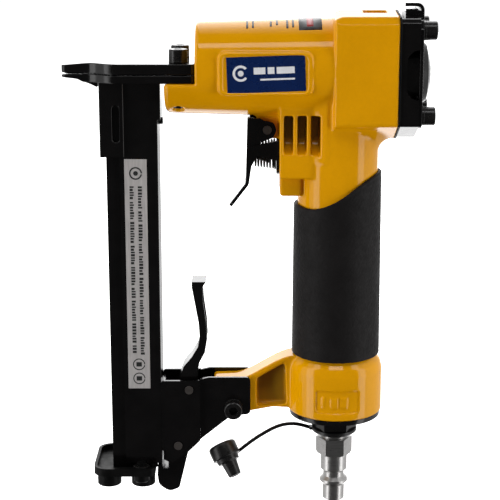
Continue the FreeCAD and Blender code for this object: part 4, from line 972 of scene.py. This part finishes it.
def top_prints():
    """Plain printed blocks on the crown of the barrel."""

    def on_barrel(x, turn, lift):
        radius = barrel_radius(x) + lift
        return (x, -radius * math.sin(turn), BARREL_Z + radius * math.cos(turn))

    def patch(name, x0, x1, turn0, turn1, lift, material):
        rows, columns = 10, 2
        vertices, faces = [], []
        for layer in (0.0, lift):
            for row in range(rows + 1):
                for column in range(columns + 1):
                    x = x0 + (x1 - x0) * column / columns
                    turn = turn0 + (turn1 - turn0) * row / rows
                    vertices.append(on_barrel(x, turn, layer))
        size = (rows + 1) * (columns + 1)
        for row in range(rows):
            for column in range(columns):
                a = row * (columns + 1) + column
                quad = (a, a + 1, a + columns + 2, a + columns + 1)
                faces.append(quad)
                faces.append(tuple(i + size for i in reversed(quad)))
        rim = [row * (columns + 1) for row in range(rows + 1)]
        rim += [rows * (columns + 1) + c for c in range(1, columns + 1)]
        rim += [row * (columns + 1) + columns for row in range(rows - 1, -1, -1)]
        rim += [c for c in range(columns - 1, 0, -1)]
        for a, b in zip(rim, rim[1:] + rim[:1]):
            faces.append((a, b, b + size, a + size))
        made = piece(name, vertices, faces, material, "gun_body")
        bm = bmesh.new()
        bm.from_mesh(made.data)
        bmesh.ops.recalc_face_normals(bm, faces=bm.faces)
        bm.to_mesh(made.data)
        bm.free()

    patch("print_block", 107.6, 118.0, -0.35, 0.62, 0.05, INK_BLACK)
    patch("print_red", 111.2, 114.2, -0.2, 0.5, 0.09, INK_RED)
    lines = [(84.0, 0.1, 0.52), (86.6, 0.05, 0.5), (94.6, 0.2, 0.47), (97.4, 0.0, 0.42)]
    lines += [(102.0, 0.1, 0.55), (104.6, 0.05, 0.52)]
    for number, (x, start, stop) in enumerate(lines):
        patch(f"print_line_{number}", x, x + 0.9, start, stop, 0.05, INK_BLACK)


top_prints()

# ---------------------------------------------------------------- CAD nodes that keep their shape

EDGE_WIDTHS = {
    "cylinder_cap": 0.8,
    "exhaust_deflector": 0.5,
    "air_plug": 0.3,
    "magazine_channel": 0.5,
    "magazine_front_sleeve": 0.5,
    "magazine_bracket": 0.45,
    "latch_lever": 0.45,
    "trigger": 0.4,
    "valve_body": 0.3,
    "end_plate": 0.45,
    "end_cap": 0.4,
    "end_plate_screws": 0.4,
}
FINE_EDGE = 0.25
NODE_MATERIALS = {
    "end_plate": TRAY,
    "end_plate_screws": TRAY,
    "trigger_pin": PIN,
    "latch_stop_pin": PIN,
    "latch_pivot_pin": PIN,
}
node_slots = {part["node"]: part["material_slot"] for part in frame["record"]["subparts"]}
for name, thing in frame["nodes"].items():
    if thing.hide_render:
        continue
    thing.data.materials.clear()
    thing.data.materials.append(NODE_MATERIALS.get(name, SLOT_MATERIALS[node_slots[name]]))
    thing.data.polygons.foreach_set("use_smooth", [True] * len(thing.data.polygons))
    if "custom_normal" in thing.data.attributes:
        thing.data.attributes.remove(thing.data.attributes["custom_normal"])
    weld = thing.modifiers.new("weld", "WELD")
    weld.merge_threshold = 0.002 * MM
    soften(thing, EDGE_WIDTHS.get(name, FINE_EDGE))
    shading = thing.modifiers.new("shading", "WEIGHTED_NORMAL")
    shading.weight = 100

# ---------------------------------------------------------------- floor and light

FLOOR_Z = -0.32
FLOOR_CORNERS = [(-4, -4, FLOOR_Z), (4, -4, FLOOR_Z), (4, 4, FLOOR_Z), (-4, 4, FLOOR_Z)]
floor_mesh = bpy.data.meshes.new("floor")
floor_mesh.from_pydata(FLOOR_CORNERS, [], [(0, 1, 2, 3)])
floor = bpy.data.objects.new("floor", floor_mesh)
scene.collection.objects.link(floor)
floor_paint = Surface("floor_paper", Base_Color=(0.9, 0.9, 0.9, 1.0), Roughness=0.9, Emission_Strength=1.0)
floor_paint.shader.inputs["Emission Color"].default_value = (1.0, 1.0, 1.0, 1.0)
floor_mesh.materials.append(floor_paint.material)
floor.visible_shadow = False
floor.visible_glossy = False
floor.visible_diffuse = False


def studio_world():
    """Soft white surroundings with a dark gap behind the camera and a long box light above it."""
    world = bpy.data.worlds.new("studio")
    world.use_nodes = True
    scene.world = world
    tree = world.node_tree
    tree.nodes.clear()

    def node(kind, *inputs, **props):
        made = tree.nodes.new(kind)
        for key, value in props.items():
            setattr(made, key, value)
        for index, value in enumerate(inputs):
            if isinstance(value, bpy.types.NodeSocket):
                tree.links.new(value, made.inputs[index])
            elif value is not None:
                made.inputs[index].default_value = value
        return made

    def calc(operation, *inputs):
        return node("ShaderNodeMath", *inputs, operation=operation).outputs[0]

    def band(value, low, high, soft):
        rising = node("ShaderNodeMapRange", value, low - soft, low + soft, 0.0, 1.0).outputs[0]
        falling = node("ShaderNodeMapRange", value, high - soft, high + soft, 1.0, 0.0).outputs[0]
        return calc("MULTIPLY", rising, falling)

    direction = node("ShaderNodeTexCoord").outputs["Generated"]
    split = node("ShaderNodeSeparateXYZ", direction)
    elevation = calc("MULTIPLY", calc("ARCSINE", split.outputs[2]), 180 / math.pi)
    toward = calc("MULTIPLY", split.outputs[1], -1.0)
    azimuth = calc("MULTIPLY", calc("ABSOLUTE", calc("ARCTAN2", split.outputs[0], toward)), 180 / math.pi)

    def curve(value, *stops):
        """A piecewise linear level over a value in degrees."""
        ramp = node("ShaderNodeValToRGB", calc("MULTIPLY_ADD", value, 1 / 180.0, 0.5))
        elements = ramp.color_ramp.elements
        while len(elements) < len(stops):
            elements.new(1.0)
        for element, (degrees, level) in zip(elements, stops):
            element.position = degrees / 180.0 + 0.5
            element.color = (level, level, level, 1.0)
        return ramp.outputs[0]

    around = curve(
        calc("SUBTRACT", azimuth, 90.0),
        (-90, 0.01), (-35, 0.012), (-32, 0.46), (-15, 0.50), (-12, 0.16), (20, 0.12), (58, 0.14),
        (66, 0.3), (75, 0.62), (90, 0.62),
    )
    rising = curve(elevation, (-60, 0.02), (-54, 1.0), (52, 1.0), (66, 0.5), (84, 0.08))
    light = calc("MULTIPLY", calc("MULTIPLY", around, rising), 5.0)
    low_rear = calc("MULTIPLY", band(azimuth, 164.0, 200.0, 4.0), band(elevation, -30.0, -7.0, 2.0))
    light = calc("MULTIPLY", light, calc("MULTIPLY_ADD", low_rear, -0.75, 1.0))
    softbox = calc("MULTIPLY", band(elevation, 56.0, 68.0, 1.5), band(azimuth, -20.0, 27.0, 2.0))
    light = calc("MULTIPLY_ADD", softbox, 4.0, light)
    seen = node("ShaderNodeLightPath").outputs["Is Camera Ray"]
    lit = node("ShaderNodeBackground", (1.0, 1.0, 1.0, 1.0), light).outputs[0]
    backdrop = node("ShaderNodeBackground", (1.0, 1.0, 1.0, 1.0), 1.05).outputs[0]
    mixed = node("ShaderNodeMixShader", seen, lit, backdrop).outputs[0]
    node("ShaderNodeOutputWorld", mixed)


studio_world()


def fill_light(name, azimuth, elevation, size, power):
    """A large soft lamp that aims at the tool; azimuth 0 is the camera's side."""
    distance = 1.7
    lamp = bpy.data.lights.new(name, "AREA")
    lamp.shape = "DISK"
    lamp.size = size
    lamp.energy = power
    made = bpy.data.objects.new(name, lamp)
    a, e = math.radians(azimuth), math.radians(elevation)
    away = Vector((math.sin(a) * math.cos(e), -math.cos(a) * math.cos(e), math.sin(e)))
    made.location = CENTRE + away * distance
    made.rotation_euler = away.to_track_quat("Z", "Y").to_euler()
    made.visible_glossy = False
    scene.collection.objects.link(made)


fill_light("left_fill", -64, -6, 0.8, 13.0)
fill_light("right_fill", 64, -6, 0.8, 9.8)
fill_light("top_fill", 0, 68, 1.0, 5.0)
fill_light("back_fill", 168, 25, 1.3, 13.0)
scene.view_settings.view_transform = "Standard"
